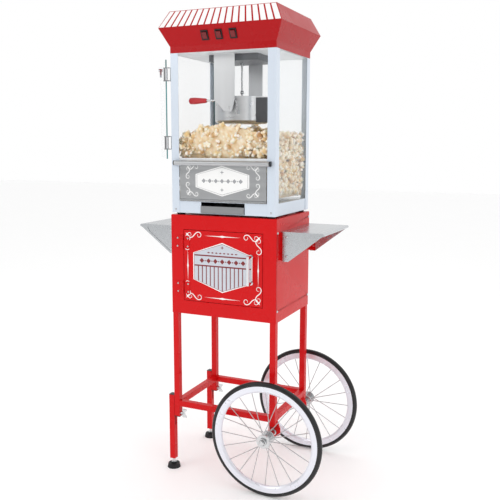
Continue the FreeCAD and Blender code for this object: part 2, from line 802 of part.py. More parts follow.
def make_door_handle():
    """A chrome bow handle: two feet and a grip bar."""
    front = f"-{WALL_Y}"
    bar_y = f"(-{WALL_Y} - handle_reach)"
    bar = cylinder("z", ("handle_x", bar_y, "handle_bottom"), "handle_top - handle_bottom",
                   "handle_radius")
    feet = []
    for height in ("handle_bottom + handle_radius", "handle_top - handle_radius"):
        feet.append(cylinder("y", ("handle_x", bar_y, height), "handle_reach", "handle_radius"))
        feet.append(cylinder("y", ("handle_x", f"{front} - 2.5", height), "2.5",
                             "handle_radius * 1.5"))
    finish("cabinet_door_handle", fuse(bar, *feet))


# ---------------------------------------------------------------- shelves

def make_shelf(name, side):
    """A pressed shelf: top sheet, rolled outer bead and two rimmed gussets."""
    body = new_body("shelf")
    bead_x = f"{side} * (shelf_edge - shelf_bead)"
    low = f"{side} * {WALL_X}"
    corners = sorted([(low, 0), (bead_x, 1)], key=lambda item: item[1] * side)
    pad(body, rectangle(body, "XY_Plane", (corners[0][0], "-shelf_front"),
                        (corners[1][0], "shelf_rear"), "shelf_top - sheet"), "sheet")
    pad(body, circles(body, "XZ_Plane", [(bead_x, "shelf_top - shelf_bead")], "shelf_bead",
                      "-shelf_rear"), "shelf_rear + shelf_front")
    tip = "shelf_edge - shelf_bead"
    tip_low = "shelf_top - 1.7 * shelf_bead"
    points = [("gusset_inner", "shelf_top - sheet"), ("gusset_inner", "gusset_bottom"),
              ("gusset_foot", "gusset_bottom"), (tip, tip_low), (tip, "shelf_top - sheet")]
    inner = [("gusset_inner + gusset_rim", "shelf_top - sheet - gusset_rim"),
             ("gusset_inner + gusset_rim", "gusset_bottom + gusset_rim"),
             ("gusset_foot", "gusset_bottom + gusset_rim"),
             (f"{tip} - 4 * gusset_rim", f"{tip_low} - 2 * gusset_rim"),
             (f"{tip} - 3 * gusset_rim", "shelf_top - sheet - gusset_rim")]
    outer = [(f"{side} * ({x})", z) for x, z in points]
    panel = [(f"{side} * ({x})", z) for x, z in inner]
    for offset, dish in (("shelf_front - gusset_depth", "shelf_front - gusset_depth + sheet"),
                         ("-shelf_rear", "-shelf_rear")):
        pad(body, outline(body, "XZ_Plane", outer, offset), "gusset_depth")
        pocket(body, outline(body, "XZ_Plane", panel, dish), "gusset_depth - sheet")
    bolts = [(f"{side} * {BOLT_X}", height) for height in BOLT_HEIGHTS]
    pocket(body, circles(body, "XZ_Plane", bolts, "bolt_radius + 2 * running_fit", "-shelf_rear - 5"),
           "shelf_front + shelf_rear + 10")
    finish(name, body)


# ---------------------------------------------------------------- machine body

FRAME_X = "(machine_width / 2 - sheet)"
FRAME_Y = "(machine_depth / 2 - sheet)"


def make_machine_base():
    """The folded base pan, open at the top, with the drawer's opening in its front."""
    body = new_body("base")
    pad(body, rectangle(body, "XY_Plane", (f"-{FRAME_X}", f"-{FRAME_Y}"), (FRAME_X, FRAME_Y),
                        "machine_bottom"), "deck_height - machine_bottom")
    pocket(body, rectangle(body, "XY_Plane", (f"-{FRAME_X} + sheet", f"-{FRAME_Y} + sheet"),
                           (f"{FRAME_X} - sheet", f"{FRAME_Y} - sheet"),
                           "machine_bottom + sheet"), "deck_height")
    opening_half = "drawer_half + 1"
    pocket(body, rectangle(body, "XZ_Plane", (f"-{opening_half}", "machine_bottom + sheet"),
                           (opening_half, "deck_height - sheet"), f"{FRAME_Y} - 2 * sheet"),
           "4 * sheet")
    finish("machine_base", body)


def make_rubber():
    """Four feet under the machine, and the cable gland in its rear wall."""
    feet = [cone("z", (f"{side} * (machine_width / 2 - 22)", f"{end} * (machine_depth / 2 - 22)",
                       "cabinet_top"), "machine_bottom - cabinet_top", "13", "15")
            for side in (-1, 1) for end in (-1, 1)]
    gland = cone("y", ("120", FRAME_Y, "machine_bottom + 20"), "14", "9", "6")
    finish("rubber_feet_and_gland", *feet, gland)


def make_corner_posts():
    """Four upright angles with rounded corners, mirrored from one."""
    body = new_body("post")
    outer_x = "machine_width / 2"
    outer_y = "machine_depth / 2"
    points = [(outer_x, outer_y), (f"{outer_x} - post_width", outer_y),
              (f"{outer_x} - post_width", FRAME_Y), (FRAME_X, FRAME_Y),
              (FRAME_X, f"{outer_y} - post_width"), (outer_x, f"{outer_y} - post_width")]
    pad(body, outline(body, "XY_Plane", points, "machine_bottom"), "post_top - machine_bottom")

    def outside_corner(edge):
        middle = edge.CenterOfMass
        return (runs_along(edge, "z") and abs(middle.x - size("machine_width") / 2) < 0.1
                and abs(middle.y - size("machine_depth") / 2) < 0.1)
    round_edges(body, outside_corner, "sheet * 0.9")
    hole = cylinder("y", ("machine_width / 2 - post_width / 2", FRAME_Y, "machine_bottom + 12"),
                    "sheet", "1.7")
    post = cut(body, hole)
    left = mirror(post, (1, 0, 0))
    finish("corner_posts", post, left, mirror(post, (0, 1, 0)), mirror(left, (0, 1, 0)))


def make_glass_panes():
    """The fixed side and rear panes, standing on the deck behind the posts."""
    bottom = "deck_height + sheet"
    top = "post_top - sheet"
    panes = []
    for side in (-1, 1):
        middle = f"{side} * ({FRAME_X} - glass / 2)"
        panes.append(box((f"{middle} - glass / 2", f"-{FRAME_Y} + 1", bottom),
                         (f"{middle} + glass / 2", f"{FRAME_Y} - 1", top)))
    panes.append(box((f"-{FRAME_X} + glass + 0.5", f"{FRAME_Y} - glass", bottom),
                     (f"{FRAME_X} - glass - 0.5", FRAME_Y, top)))
    finish("glass_panes", *panes)


def make_deck():
    """The perforated popcorn deck over the kernel drawer."""
    body = new_body("deck")
    pad(body, rectangle(body, "XY_Plane", (f"-{FRAME_X}", f"-{FRAME_Y}"), (FRAME_X, FRAME_Y),
                        "deck_height"), "sheet")
    pitch = 22
    centres = [(str(pitch * column), str(-90 + pitch * line))
               for column in range(-2, 3) for line in range(4)]
    pocket(body, circles(body, "XY_Plane", centres, "4", "deck_height - sheet"), "4 * sheet")
    finish("popcorn_deck", body)


def make_sill():
    """The front rail under the glass door."""
    body = new_body("sill")
    pad(body, rectangle(body, "XZ_Plane", (f"-{FRAME_X} + glass + 1", "sill_bottom"),
                        (f"{FRAME_X} - glass - 1", "sill_top"), f"{FRAME_Y} - sill_depth"),
        "sill_depth")
    round_edges(body, lambda edge: runs_along(edge, "x"), "2")
    finish("front_sill", body)


def make_drawer():
    """The drawer under the deck that catches unpopped kernels."""
    body = new_body("drawer")
    front = "machine_depth / 2"
    pad(body, rectangle(body, "XZ_Plane", ("-drawer_half + 2", "drawer_bottom"),
                        ("drawer_half - 2", "drawer_top - 2"), f"{front} - drawer_length"),
        "drawer_length")
    pad(body, rectangle(body, "XZ_Plane", ("-drawer_half", "drawer_bottom"),
                        ("drawer_half", "drawer_top"), front), "sheet")
    pocket(body, rectangle(body, "XY_Plane",
                           ("-drawer_half + 3", f"-{front} + sheet"),
                           ("drawer_half - 3", f"drawer_length - {front} - sheet"),
                           "drawer_bottom + sheet"), "4 * drawer_half")
    finish("kernel_drawer", body)


# ---------------------------------------------------------------- front flap

def make_flap():
    """The steel flap that hangs from its bar, and the bar."""
    body = new_body("flap")
    rear = FRAME_Y
    front = f"({FRAME_Y} + sheet)"
    neck = "flap_axis_z - 0.6 * flap_bar_radius"
    points = [(f"-{rear}", "flap_bottom"), (f"-{rear}", neck), ("flap_axis_y", neck),
              ("flap_axis_y", f"{neck} - sheet"), (f"-{front}", f"{neck} - sheet"),
              (f"-{front}", "flap_bottom + 6"), (f"-{front} - 5", "flap_bottom + 3"),
              (f"-{front} - 5", "flap_bottom")]
    pad(body, outline(body, "YZ_Plane", points, "-flap_half"), "2 * flap_half")
    bar = cylinder("x", ("-flap_bar_half", "flap_axis_y", "flap_axis_z"), "2 * flap_bar_half",
                   "flap_bar_radius")
    bore = cylinder("x", ("-2 * flap_bar_half", "flap_axis_y", "flap_axis_z"), "4 * flap_bar_half",
                    "flap_pin_radius + running_fit")
    finish("front_flap", cut(body, bar))
    finish("flap_bar", cut(bar, bore))


def make_flap_pivots():
    """A black ear on each front post, with the pin that the flap's bar turns on."""
    ears = []
    for side in (-1, 1):
        middle = f"{side} * (flap_bar_half + gap + 1.5)"
        disc = cylinder("x", (f"{middle} - 1.5", "flap_axis_y", "flap_axis_z"), "3",
                        "flap_bar_radius")
        arm = box((f"{middle} - 1.5", "flap_axis_y", "flap_axis_z - flap_bar_radius"),
                  (f"{middle} + 1.5", "-machine_depth / 2", "flap_axis_z + flap_bar_radius"))
        pin_middle = f"{side} * (flap_bar_half - 6)"
        pin = cylinder("x", (f"{pin_middle} - 7.5", "flap_axis_y", "flap_axis_z"), "15",
                       "flap_pin_radius")
        ears.append(fuse(disc, arm, pin))
    finish("flap_pivot_ears", *ears)


# ---------------------------------------------------------------- canopy

def canopy_section(body, height, out):
    x = f"(machine_width / 2 + {out})"
    y = f"(machine_depth / 2 + {out})"
    return rectangle(body, "XY_Plane", (f"-{x}", f"-{y}"), (x, y), height)


FLARE = "(eave - band_top)"
FLARE_TILT = f"atan(eave_out / {FLARE})"


def switch_item(item, x, inward, extra_tilt="0"):
    """Place an item at a switch, its local Z pointing out of the flared front panel."""
    item.Placement = FreeCAD.Placement(FreeCAD.Vector(), FreeCAD.Rotation(FreeCAD.Vector(1, 0, 0), 90))
    item.setExpression(".Placement.Rotation.Angle",
                       expression(f"90 deg + {FLARE_TILT} + {extra_tilt} * 1 deg"))
    middle_y = "(-machine_depth / 2 - eave_out / 2)"
    middle_z = "((band_top + eave) / 2)"
    bind_place(item, x, f"{middle_y} + {inward} * cos({FLARE_TILT})",
               f"{middle_z} + {inward} * sin({FLARE_TILT})")
    return item


def centred_box(width, height, low, high):
    """A box about its own X and Y middle, from low to high in Z."""
    return box((f"-({width}) / 2", f"-({height}) / 2", low),
               (f"({width}) / 2", f"({height}) / 2", high))


def make_canopy():
    """The flared skirt with its three switch holes, and the hipped roof on it."""
    body = new_body("skirt")
    pad(body, canopy_section(body, "post_top", "0"), "band_top - post_top")
    loft(body, "PartDesign::AdditiveLoft", canopy_section(body, "band_top", "0"),
         canopy_section(body, "eave", "eave_out"))
    pocket(body, canopy_section(body, "post_top - sheet", "-sheet"), "band_top - post_top + sheet")
    loft(body, "PartDesign::SubtractiveLoft", canopy_section(body, "band_top", "-sheet"),
         canopy_section(body, "eave", "eave_out - sheet"))
    holes = [switch_item(group(centred_box("switch_width - 3", "switch_height - 3", "-20", "20")),
                         x, "0") for x in switch_places()]
    finish("canopy_skirt", cut(body, *holes))

    roof = new_body("roof")
    loft(roof, "PartDesign::AdditiveLoft", canopy_section(roof, "eave", "eave_out"),
         canopy_section(roof, "roof_top", "0"))
    loft(roof, "PartDesign::SubtractiveLoft", canopy_section(roof, "eave", "eave_out - 2 * sheet"),
         canopy_section(roof, "roof_top - sheet", "-sheet"))
    finish("canopy_roof", roof)


def switch_places():
    return [f"(switch_x + {step} * switch_pitch)" for step in (-1, 0, 1)]


def make_switches():
    """Three rocker switches in the front of the canopy."""
    bezels = []
    for x in switch_places():
        frame = centred_box("switch_width", "switch_height", "0", "bezel_proud")
        sleeve = centred_box("switch_width - 3.4", "switch_height - 3.4", "-14", "0")
        well = centred_box("switch_width - 2 * bezel_frame", "switch_height - 2 * bezel_frame",
                           "-11", "20")
        bezels.append(switch_item(group(cut(fuse(frame, sleeve), well)), x, "0"))
    finish("switch_bezels", *bezels)
    for number, x in enumerate(switch_places(), start=1):
        width = "switch_width - 2 * bezel_frame - 1.2"
        height = "switch_height - 2 * bezel_frame - 3"
        rocker = centred_box(width, height, "-3", "5")
        rocker = switch_item(group(rocker), x, "0", "rocker_tilt")
        finish(f"switch_rocker_{number}", rocker)


def make_ceiling():
    finish("ceiling_plate",
           box((f"-{FRAME_X}", f"-{FRAME_Y}", "post_top - sheet"), (FRAME_X, FRAME_Y, "post_top")))
    body = new_body("housing")
    pad(body, rectangle(body, "XY_Plane", ("-88", "-74"), ("88", "74"), "housing_bottom"),
        "post_top - sheet - housing_bottom")
    round_edges(body, lambda edge: runs_along(edge, "z"), "8")
    finish("stirring_motor_housing", body)


# ---------------------------------------------------------------- kettle

def make_hangers():
    """The straps that carry the kettle's two pivots."""
    hangers = []
    widths = {-1: ("-52", "22"), 1: ("-22", "30")}
    for end, (left, right) in widths.items():
        body = new_body("hanger")
        low = "pivot_height - 14"
        points = [("-12", low), ("12", low), (right, "pivot_height + 24"),
                  (right, "post_top - sheet"), (left, "post_top - sheet"),
                  (left, "pivot_height + 24")]
        start = f"-{end} * (hanger_plane - sheet / 2) - sheet / 2"
        pad(body, outline(body, "XZ_Plane", points, start), "sheet")
        pocket(body, circles(body, "XZ_Plane", [("0", "pivot_height")],
                             "pivot_radius + running_fit", start), "sheet")
        lip = box((left, f"{end} * (hanger_plane + 6) - 6", "post_top - 2 * sheet"),
                  (right, f"{end} * (hanger_plane + 6) + 6", "post_top - sheet"))
        hangers.append(fuse(body, lip))
    finish("kettle_hangers", *hangers)


def make_kettle_pot():
    """The pot with its pivots, and the half of the lid that is fixed to it."""
    body = new_body("pot")
    radius = "kettle_radius"
    points = [("0", "kettle_bottom"), (f"{radius} - 8", "kettle_bottom"),
              (radius, "kettle_bottom + 8"), (radius, "kettle_rim - sheet"),
              (f"{radius} + 2", "kettle_rim - sheet"), (f"{radius} + 2", "kettle_rim"),
              (f"{radius} - sheet", "kettle_rim"), (f"{radius} - sheet", "kettle_bottom + 8.6"),
              (f"{radius} - 8.6", "kettle_bottom + sheet"), ("0", "kettle_bottom + sheet")]
    revolve(body, outline(body, "XZ_Plane", points), "Z_Axis")
    pivots = []
    for end in (-1, 1):
        middle = f"{end} * (kettle_radius + 9)"
        pivots.append(cylinder("y", ("0", f"{middle} - 9.8", "pivot_height"), "19.6",
                               "pivot_radius"))
    inside = cylinder("z", ("0", "0", "kettle_bottom"), "60", f"{radius} - sheet")
    trimmed = [cut(pivot, inside) for pivot in pivots]
    lid = cut(lid_disc("kettle_rim"),
              box(("-200", "-200", "kettle_rim - 5"), ("lid_split + gap", "200", "kettle_rim + 5")),
              cylinder("z", ("0", "0", "kettle_rim - 5"), "10", "stirrer_radius + running_fit"))
    finish("kettle_pot", fuse(body, *trimmed), lid)


def lid_disc(bottom):
    return cylinder("z", ("0", "0", bottom), "sheet", "kettle_radius + 2")


def make_lid_flap():
    """The hinged half of the lid, with its hinge roll and a small lift tab."""
    low = "(kettle_rim + gap)"
    top = f"({low} + sheet)"
    away = box(("lid_split", "-200", f"{low} - 5"), ("200", "200", f"{low} + 5"))
    roll = cylinder("y", ("lid_split", "-60", f"{top} + lid_roll"), "120", "lid_roll - gap")
    web = box(("lid_split - 2", "-60", f"{low} + sheet / 2"),
              ("lid_split", "60", f"{top} + lid_roll"))
    tab = box(("-kettle_radius + 12", "-9", top), ("-kettle_radius + 14", "9", f"{top} + 9"))
    finish("kettle_lid_flap", fuse(cut(lid_disc(low), away), roll, web, tab))


def make_dump_handle():
    """The bent rod that tips the kettle, its lug on the pot and its grip."""
    y = "-arm_plane"
    straight_end = "14"
    rod = cylinder("x", ("-82", y, "arm_height"), f"{straight_end} + 82", "arm_radius")
    bend = document.addObject("Part::Torus", "bend")
    bind(bend, Radius1="arm_bend", Radius2="arm_radius")
    bend.Angle3 = 90
    bend.Placement = FreeCAD.Placement(FreeCAD.Vector(), FreeCAD.Rotation(FreeCAD.Vector(1, 0, 0), 90))
    bind_place(bend, straight_end, y, "arm_height - arm_bend")
    drop_x = f"({straight_end} + arm_bend)"
    drop = cylinder("z", (drop_x, y, "arm_height - arm_bend - 26"), "26", "arm_radius")
    lug = box((f"{drop_x} - 6", f"{y} - arm_radius", "arm_height - arm_bend - 32"),
              (f"{drop_x} + 6", "-60", "arm_height - arm_bend - 20"))
    pot = cylinder("z", ("0", "0", "kettle_bottom"), "100", "kettle_radius")
    finish("kettle_handle", cut(fuse(rod, bend, drop, lug), pot))
    body = new_body("grip")
    points = [("-146", "0"), ("-146", "6"), ("-142", "10.5"), ("-126", "11"), ("-86", "7.5"),
              ("-82", "5"), ("-82", "0")]
    revolve(body, outline(body, "XY_Plane", points), "X_Axis")
    bind_place(body, "0", y, "arm_height")
    finish("kettle_grip", body)


def make_heater_box():
    """The dark terminal box on the pot's right side."""
    shell = box(("60", "-52", "kettle_bottom + 2"), ("112", "-8", "kettle_rim - 3"))
    pot = cylinder("z", ("0", "0", "kettle_bottom - 10"), "200", "kettle_radius")
    finish("kettle_heater_box", cut(shell, pot))


def make_stirrer():
    """The stirring shaft through the lid, its blades, and the motor's slotted coupling."""
    low = "kettle_bottom + sheet + 2"
    shaft = cylinder("z", ("0", "0", low), f"stirrer_top - ({low})", "stirrer_radius")
    knob = ball("0", "0", "kettle_rim + 18", "stirrer_radius * 2.2")
    blades = box(("-70", "-2", low), ("70", "2", f"{low} + 4"))
    cross = box(("-2", "-45", low), ("2", "45", f"{low} + 4"))
    tang = box(("-2.6", "-1", "stirrer_top"), ("2.6", "1", "stirrer_top + 7"))
    finish("stirrer", fuse(shaft, knob, blades, cross, tang))
    drum = cylinder("z", ("0", "0", "stirrer_top + 0.5"), "housing_bottom - stirrer_top - 0.5 - gap",
                    "7")
    slot = box(("-20", "-1 - gap", "stirrer_top"), ("20", "1 + gap", "stirrer_top + 8"))
    finish("stirrer_coupling", cut(drum, slot))


# ---------------------------------------------------------------- popcorn

def make_heap():
    """The popcorn, highest at the front and hollowed under the kettle, which tips over it."""
    half = f"({FRAME_X} - glass - 1)"
    bottom = "deck_height + sheet"
    crest = [("0.97", "1172"), ("0.66", "1181"), ("0.33", "1190"), ("-0.06", "1206"),
             ("-0.36", "1196"), ("-0.68", "1176"), ("-0.97", "1166")]
    points = [(f"-{half}", bottom), (half, bottom), (half, "1168")]
    points += [(f"{part} * {half}", height) for part, height in crest]
    points.append((f"-{half}", "1162"))
    body = new_body("heap")
    rear = f"({FRAME_Y} - glass - 1)"
    pad(body, outline(body, "XZ_Plane", points, f"-{rear}"),
        f"{rear} + {FRAME_Y} - 1")
    hollow = cylinder("y", ("0", "-heap_ridge", "pivot_height"), "2 * heap_ridge", "heap_clearance")
    sill = box(("-200", "-200", "sill_bottom - 1"), ("200", f"-{FRAME_Y} + sill_depth + 1", "sill_top + 1"))
    finish("popcorn_heap", cut(body, hollow, sill))


# ---------------------------------------------------------------- glass door

GLASS_FACE = "(-1.5)"
GLASS_FRONT = f"({GLASS_FACE} - glass_door_sheet)"
CLIP_BOTTOMS = ("upper_clip", "lower_clip")


def finish_on_glass_hinge(label, *items):
    """Finish pieces drawn about the glass door's hinge, with the door closed, standing open."""
    result = group(*items)
    result.Label = label
    result.Placement = FreeCAD.Placement(FreeCAD.Vector(),
                                         FreeCAD.Rotation(FreeCAD.Vector(0, 0, -1), 10))
    result.setExpression(".Placement.Rotation.Angle", expression("glass_open * 1 deg"))
    bind_place(result, "glass_hinge_x + centre_x", "glass_hinge_y + centre_y")
    finished.append(result)


def make_glass_door():
    """A frameless pane with two chrome clips and a ring catch over its free top corner."""
    pane = box(("glass_inner", GLASS_FRONT, "glass_bottom"), ("glass_outer", GLASS_FACE, "glass_top"))
    finish_on_glass_hinge("glass_door", pane)
    fittings = []
    for bottom in CLIP_BOTTOMS:
        top = f"{bottom} + clip_height"
        jaw = box(("3", f"{GLASS_FRONT} - 2.5", bottom), ("clip_reach", f"{GLASS_FACE} + 1", top))
        barrel = cylinder("z", ("0", "0", bottom), "clip_height", "6")
        bore = cylinder("z", ("0", "0", f"{bottom} - 5"), "clip_height + 10", "2.5 + running_fit")
        fittings.append(cut(fuse(jaw, barrel), bore, pane))
    ring_x = "(glass_outer - catch_radius)"
    ring_y = f"({GLASS_FACE} - glass_door_sheet / 2 - catch_width / 2)"
    ring = cylinder("y", (ring_x, ring_y, "catch_height"), "catch_width", "catch_radius")
    hole = cylinder("y", (ring_x, ring_y, "catch_height"), "catch_width", "catch_radius / 2")
    strip = box(("glass_outer - 2 * catch_radius", f"{GLASS_FRONT} - catch_sheet",
                 "catch_height - 3 * catch_radius"),
                ("glass_outer + catch_sheet", f"{GLASS_FACE} + catch_sheet", "catch_height"))
    fittings.append(cut(fuse(ring, strip), hole, pane))
    finish_on_glass_hinge("glass_door_fittings", *fittings)


def make_glass_pivots():
    """Chrome brackets on the front left post, each with a pin for one clip."""
    brackets = []
    post_face = "-machine_width / 2"
    for bottom in CLIP_BOTTOMS:
        low = f"{bottom} - gap - 3"
        high = f"{bottom} + clip_height + gap + 3"
        plate = box((f"{post_face} - 2", "-machine_depth / 2 + 1", low), (post_face, "-126", high))
        ears = [box(("glass_hinge_x - 5", "glass_hinge_y - 5", start),
                    (post_face, "glass_hinge_y + 12", f"{start} + 3"))
                for start in (low, f"{high} - 3")]
        beside_post = box((f"{post_face} - 1", "glass_hinge_y - 20", low),
                          (f"{post_face} + 5", "-machine_depth / 2", high))
        trimmed = [cut(ear, beside_post) for ear in ears]
        pin = cylinder("z", ("glass_hinge_x", "glass_hinge_y", low), f"{high} - ({low})", "2.5")
        brackets.append(fuse(plate, *trimmed, pin))
    finish("glass_door_pivots", *brackets)


# ---------------------------------------------------------------- assembly

def build():
    make_legs()
    make_tube_plugs()
    make_stretchers()
    make_axle_brackets()
    make_stub_axles()
    for place, side in (("front", -1), ("rear", 1)):
        make_leg_extension(f"leg_extension_{place}", side)
        make_levelling_foot(f"levelling_foot_{place}", side)
        make_clamp_screw(f"clamp_screw_{place}", side)
        make_tyre(f"wheel_{place}_tyre", f"{side} * wheel_middle")
        make_rim(f"wheel_{place}_rim", f"{side} * wheel_middle")
        make_hub(f"wheel_{place}_hub", side)
    for place, side in (("left", -1), ("right", 1)):
        make_side_panel(f"cabinet_{place}_panel", side)
        make_shelf(f"shelf_{place}", side)
    make_rear_panel()
    make_top_panel()
    make_floor()
    make_front_frame()
    make_hinges()
    make_cabinet_door()
    make_door_handle()
    make_screws()
    make_machine_base()
    make_rubber()
    make_corner_posts()
    make_glass_panes()
    make_deck()
    make_sill()
    make_drawer()
    make_flap()
    make_flap_pivots()
    make_canopy()
    make_switches()
    make_ceiling()
    make_hangers()
    make_kettle_pot()
    make_lid_flap()
    make_dump_handle()
    make_heater_box()
    make_stirrer()
    make_heap()
    make_glass_door()
    make_glass_pivots()


def check_document():
    for item in document.Objects:
        faults = [state for state in item.State if state in ("Invalid", "Error")]
        if faults:
            raise RuntimeError(f"{item.Label} ({item.Name}): {faults}")
    for item in finished:
        if item.Shape.isNull() or not item.Shape.isValid() or not item.Shape.Solids:
            raise RuntimeError(f"{item.Label}: no valid solid")


def export():
    os.makedirs("parts", exist_ok=True)
    for item in finished:
        item.Shape.exportStep(f"parts/{item.Label}.step")


build()
document.recompute()
check_document()
export()

whole = Part.Compound([item.Shape for item in finished])
limits = whole.optimalBoundingBox()
print(f"{len(finished)} pieces, {len(whole.Solids)} solids")
print(f"x {limits.XMin:.2f} {limits.XMax:.2f}  y {limits.YMin:.2f} {limits.YMax:.2f}  "
      f"z {limits.ZMin:.2f} {limits.ZMax:.2f}")
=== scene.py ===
import math

import bmesh
import bpy
import numpy as np
from mathutils import Matrix, Vector
from mathutils.bvhtree import BVHTree


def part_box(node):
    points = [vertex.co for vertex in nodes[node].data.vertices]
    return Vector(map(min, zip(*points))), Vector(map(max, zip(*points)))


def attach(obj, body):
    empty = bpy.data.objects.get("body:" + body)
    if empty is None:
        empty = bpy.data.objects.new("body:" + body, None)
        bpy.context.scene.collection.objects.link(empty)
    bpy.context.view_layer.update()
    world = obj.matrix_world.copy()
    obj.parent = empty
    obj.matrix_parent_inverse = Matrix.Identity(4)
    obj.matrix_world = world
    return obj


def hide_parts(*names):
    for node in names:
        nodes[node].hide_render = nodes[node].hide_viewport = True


# Looks of the popcorn cart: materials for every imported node, printed film on the door, flap and
# roof, and loose popcorn in place of the plain heap. Metres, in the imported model's own frame.

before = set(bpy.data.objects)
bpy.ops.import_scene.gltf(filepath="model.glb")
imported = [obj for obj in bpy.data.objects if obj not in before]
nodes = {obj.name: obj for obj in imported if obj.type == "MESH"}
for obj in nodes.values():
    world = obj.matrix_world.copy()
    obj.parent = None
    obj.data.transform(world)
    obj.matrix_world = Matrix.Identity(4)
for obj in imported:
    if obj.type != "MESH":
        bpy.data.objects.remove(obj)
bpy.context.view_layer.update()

# Thickness of one layer of printed film.
FILM = 0.00012
# Turns a flat drawing upright, to face the front: X stays across, Y points up, Z points at -Y.
FRONT = Matrix(((1, 0, 0), (0, 0, -1), (0, 1, 0))).to_4x4()

WHITE = (0.86, 0.86, 0.85, 1)
RED = (0.62, 0.004, 0.006, 1)
CANOPY_RED = (0.42, 0.003, 0.006, 1)
DEEP_RED = (0.20, 0.003, 0.006, 1)
SILVER_BLUE = (0.66, 0.73, 0.82, 1)
GREY = (0.33, 0.34, 0.35, 1)


def add(name, data):
    """A new object in the scene."""
    thing = bpy.data.objects.new(name, data)
    bpy.context.scene.collection.objects.link(thing)
    return thing


# ---------------------------------------------------------------- materials

def scaled(colour, factor):
    """The colour made darker or lighter, with full alpha."""
    return tuple(min(1.0, part * factor) for part in colour[:3]) + (1,)


class Surface:
    """One Principled material whose patterns are measured in the object's own metres."""

    def __init__(self, name, **values):
        self.material = bpy.data.materials.new(name)
        self.material.use_nodes = True
        self.nodes = self.material.node_tree.nodes
        self.links = self.material.node_tree.links
        self.shader = self.nodes["Principled BSDF"]
        self.place = self.nodes.new("ShaderNodeTexCoord").outputs["Object"]
        for label, value in values.items():
            self.socket(label).default_value = value

    def socket(self, label):
        """The shader's input, from its label in lower case with underscores."""
        return self.shader.inputs[label.replace("_", " ").title().replace("Ior", "IOR")]

    def wire(self, label, output):
        self.links.new(output, self.socket(label))

    def stretched(self, factors):
        node = self.nodes.new("ShaderNodeMapping")
        node.inputs["Scale"].default_value = factors
        self.links.new(self.place, node.inputs["Vector"])
        return node.outputs["Vector"]

    def noise(self, scale, detail=2.0, stretch=(1, 1, 1)):
        node = self.nodes.new("ShaderNodeTexNoise")
        node.inputs["Scale"].default_value = scale
        node.inputs["Detail"].default_value = detail
        self.links.new(self.stretched(stretch), node.inputs["Vector"])
        return node.outputs["Fac"]

    def cells(self, scale):
        node = self.nodes.new("ShaderNodeTexVoronoi")
        node.inputs["Scale"].default_value = scale
        self.links.new(self.place, node.inputs["Vector"])
        return node.outputs["Distance"]

    def bands(self, scale, axis):
        node = self.nodes.new("ShaderNodeTexWave")
        node.bands_direction = axis
        node.inputs["Scale"].default_value = scale
        self.links.new(self.place, node.inputs["Vector"])
        return node.outputs["Fac"]

    def spread(self, factor, low, high, start=0.3, end=0.7):
        """The factor, from start to end, mapped to low to high."""
        node = self.nodes.new("ShaderNodeMapRange")
        values = {"From Min": start, "From Max": end, "To Min": low, "To Max": high}
        for name, value in values.items():
            node.inputs[name].default_value = value
        self.links.new(factor, node.inputs["Value"])
        return node.outputs["Result"]

    def mixed(self, factor, first, second):
        """A colour between two, each a colour or another node's output."""
        node = self.nodes.new("ShaderNodeMix")
        node.data_type = "RGBA"
        self.links.new(factor, node.inputs["Factor"])
        for socket, colour in ((node.inputs[6], first), (node.inputs[7], second)):
            if isinstance(colour, tuple):
                socket.default_value = colour
            else:
                self.links.new(colour, socket)
        return node.outputs[2]

    def tinted(self, factor, colour, low, high):
        """The colour, scaled between low and high by the factor."""
        return self.mixed(factor, scaled(colour, low), scaled(colour, high))

    def bump(self, height, depth, strength=1.0):
        node = self.nodes.new("ShaderNodeBump")
        node.inputs["Distance"].default_value = depth
        node.inputs["Strength"].default_value = strength
        self.links.new(height, node.inputs["Height"])
        self.wire("normal", node.outputs["Normal"])


def enamel(name, colour):
    """Gloss paint on sheet steel, with a faint orange-peel surface."""
    surface = Surface(name, specular_ior_level=0.16, coat_weight=0.06, coat_roughness=0.08)
    surface.wire("base_color", surface.tinted(surface.noise(3.0), colour, 0.9, 1.0))
    surface.wire("roughness", surface.spread(surface.noise(12.0, 3.0), 0.22, 0.34))
    surface.bump(surface.noise(420.0), 0.000008)
    return surface.material


def silver_paint(name):
    """Pale blue metallic paint with fine flakes."""
    surface = Surface(name, metallic=0.2, coat_weight=0.2, coat_roughness=0.12)
    specks = surface.spread(surface.cells(2200.0), 0.0, 1.0, 0.1, 0.6)
    surface.wire("base_color", surface.tinted(specks, SILVER_BLUE, 1.05, 0.95))
    surface.wire("roughness", surface.spread(surface.noise(60.0, 3.0), 0.3, 0.42))
    return surface.material


def brushed(name, colour, stretch, rough):
    """Brushed steel: fine scratches run along the axis whose stretch is smallest."""
    surface = Surface(name, metallic=1.0)
    grain = surface.noise(60.0, 5.0, stretch)
    smears = surface.noise(9.0, 3.0)
    tone = surface.tinted(grain, colour, 0.92, 1.06)
    smeared = surface.mixed(surface.spread(smears, 0.0, 0.5), tone, scaled(colour, 0.94))
    surface.wire("base_color", smeared)
    surface.wire("roughness", surface.spread(grain, *rough))
    surface.bump(grain, 0.000005)
    return surface.material


def polished(name, colour, rough=(0.04, 0.12)):
    """Chrome or bright zinc with faint wipe marks."""
    surface = Surface(name, metallic=1.0)
    marks = surface.noise(70.0, 5.0)
    surface.wire("base_color", surface.tinted(marks, colour, 0.95, 1.04))
    surface.wire("roughness", surface.spread(marks, *rough))
    return surface.material


def moulded(name, colour, rough, grain=900.0, depth=0.00006, coat=0.0):
    """Moulded plastic or rubber with a fine grain."""
    surface = Surface(name, specular_ior_level=0.35, coat_weight=coat, coat_roughness=0.1)
    surface.wire("base_color", surface.tinted(surface.noise(25.0, 3.0), colour, 0.8, 1.25))
    surface.wire("roughness", surface.spread(surface.noise(120.0, 3.0), *rough))
    surface.bump(surface.noise(grain, 3.0), depth)
    return surface.material


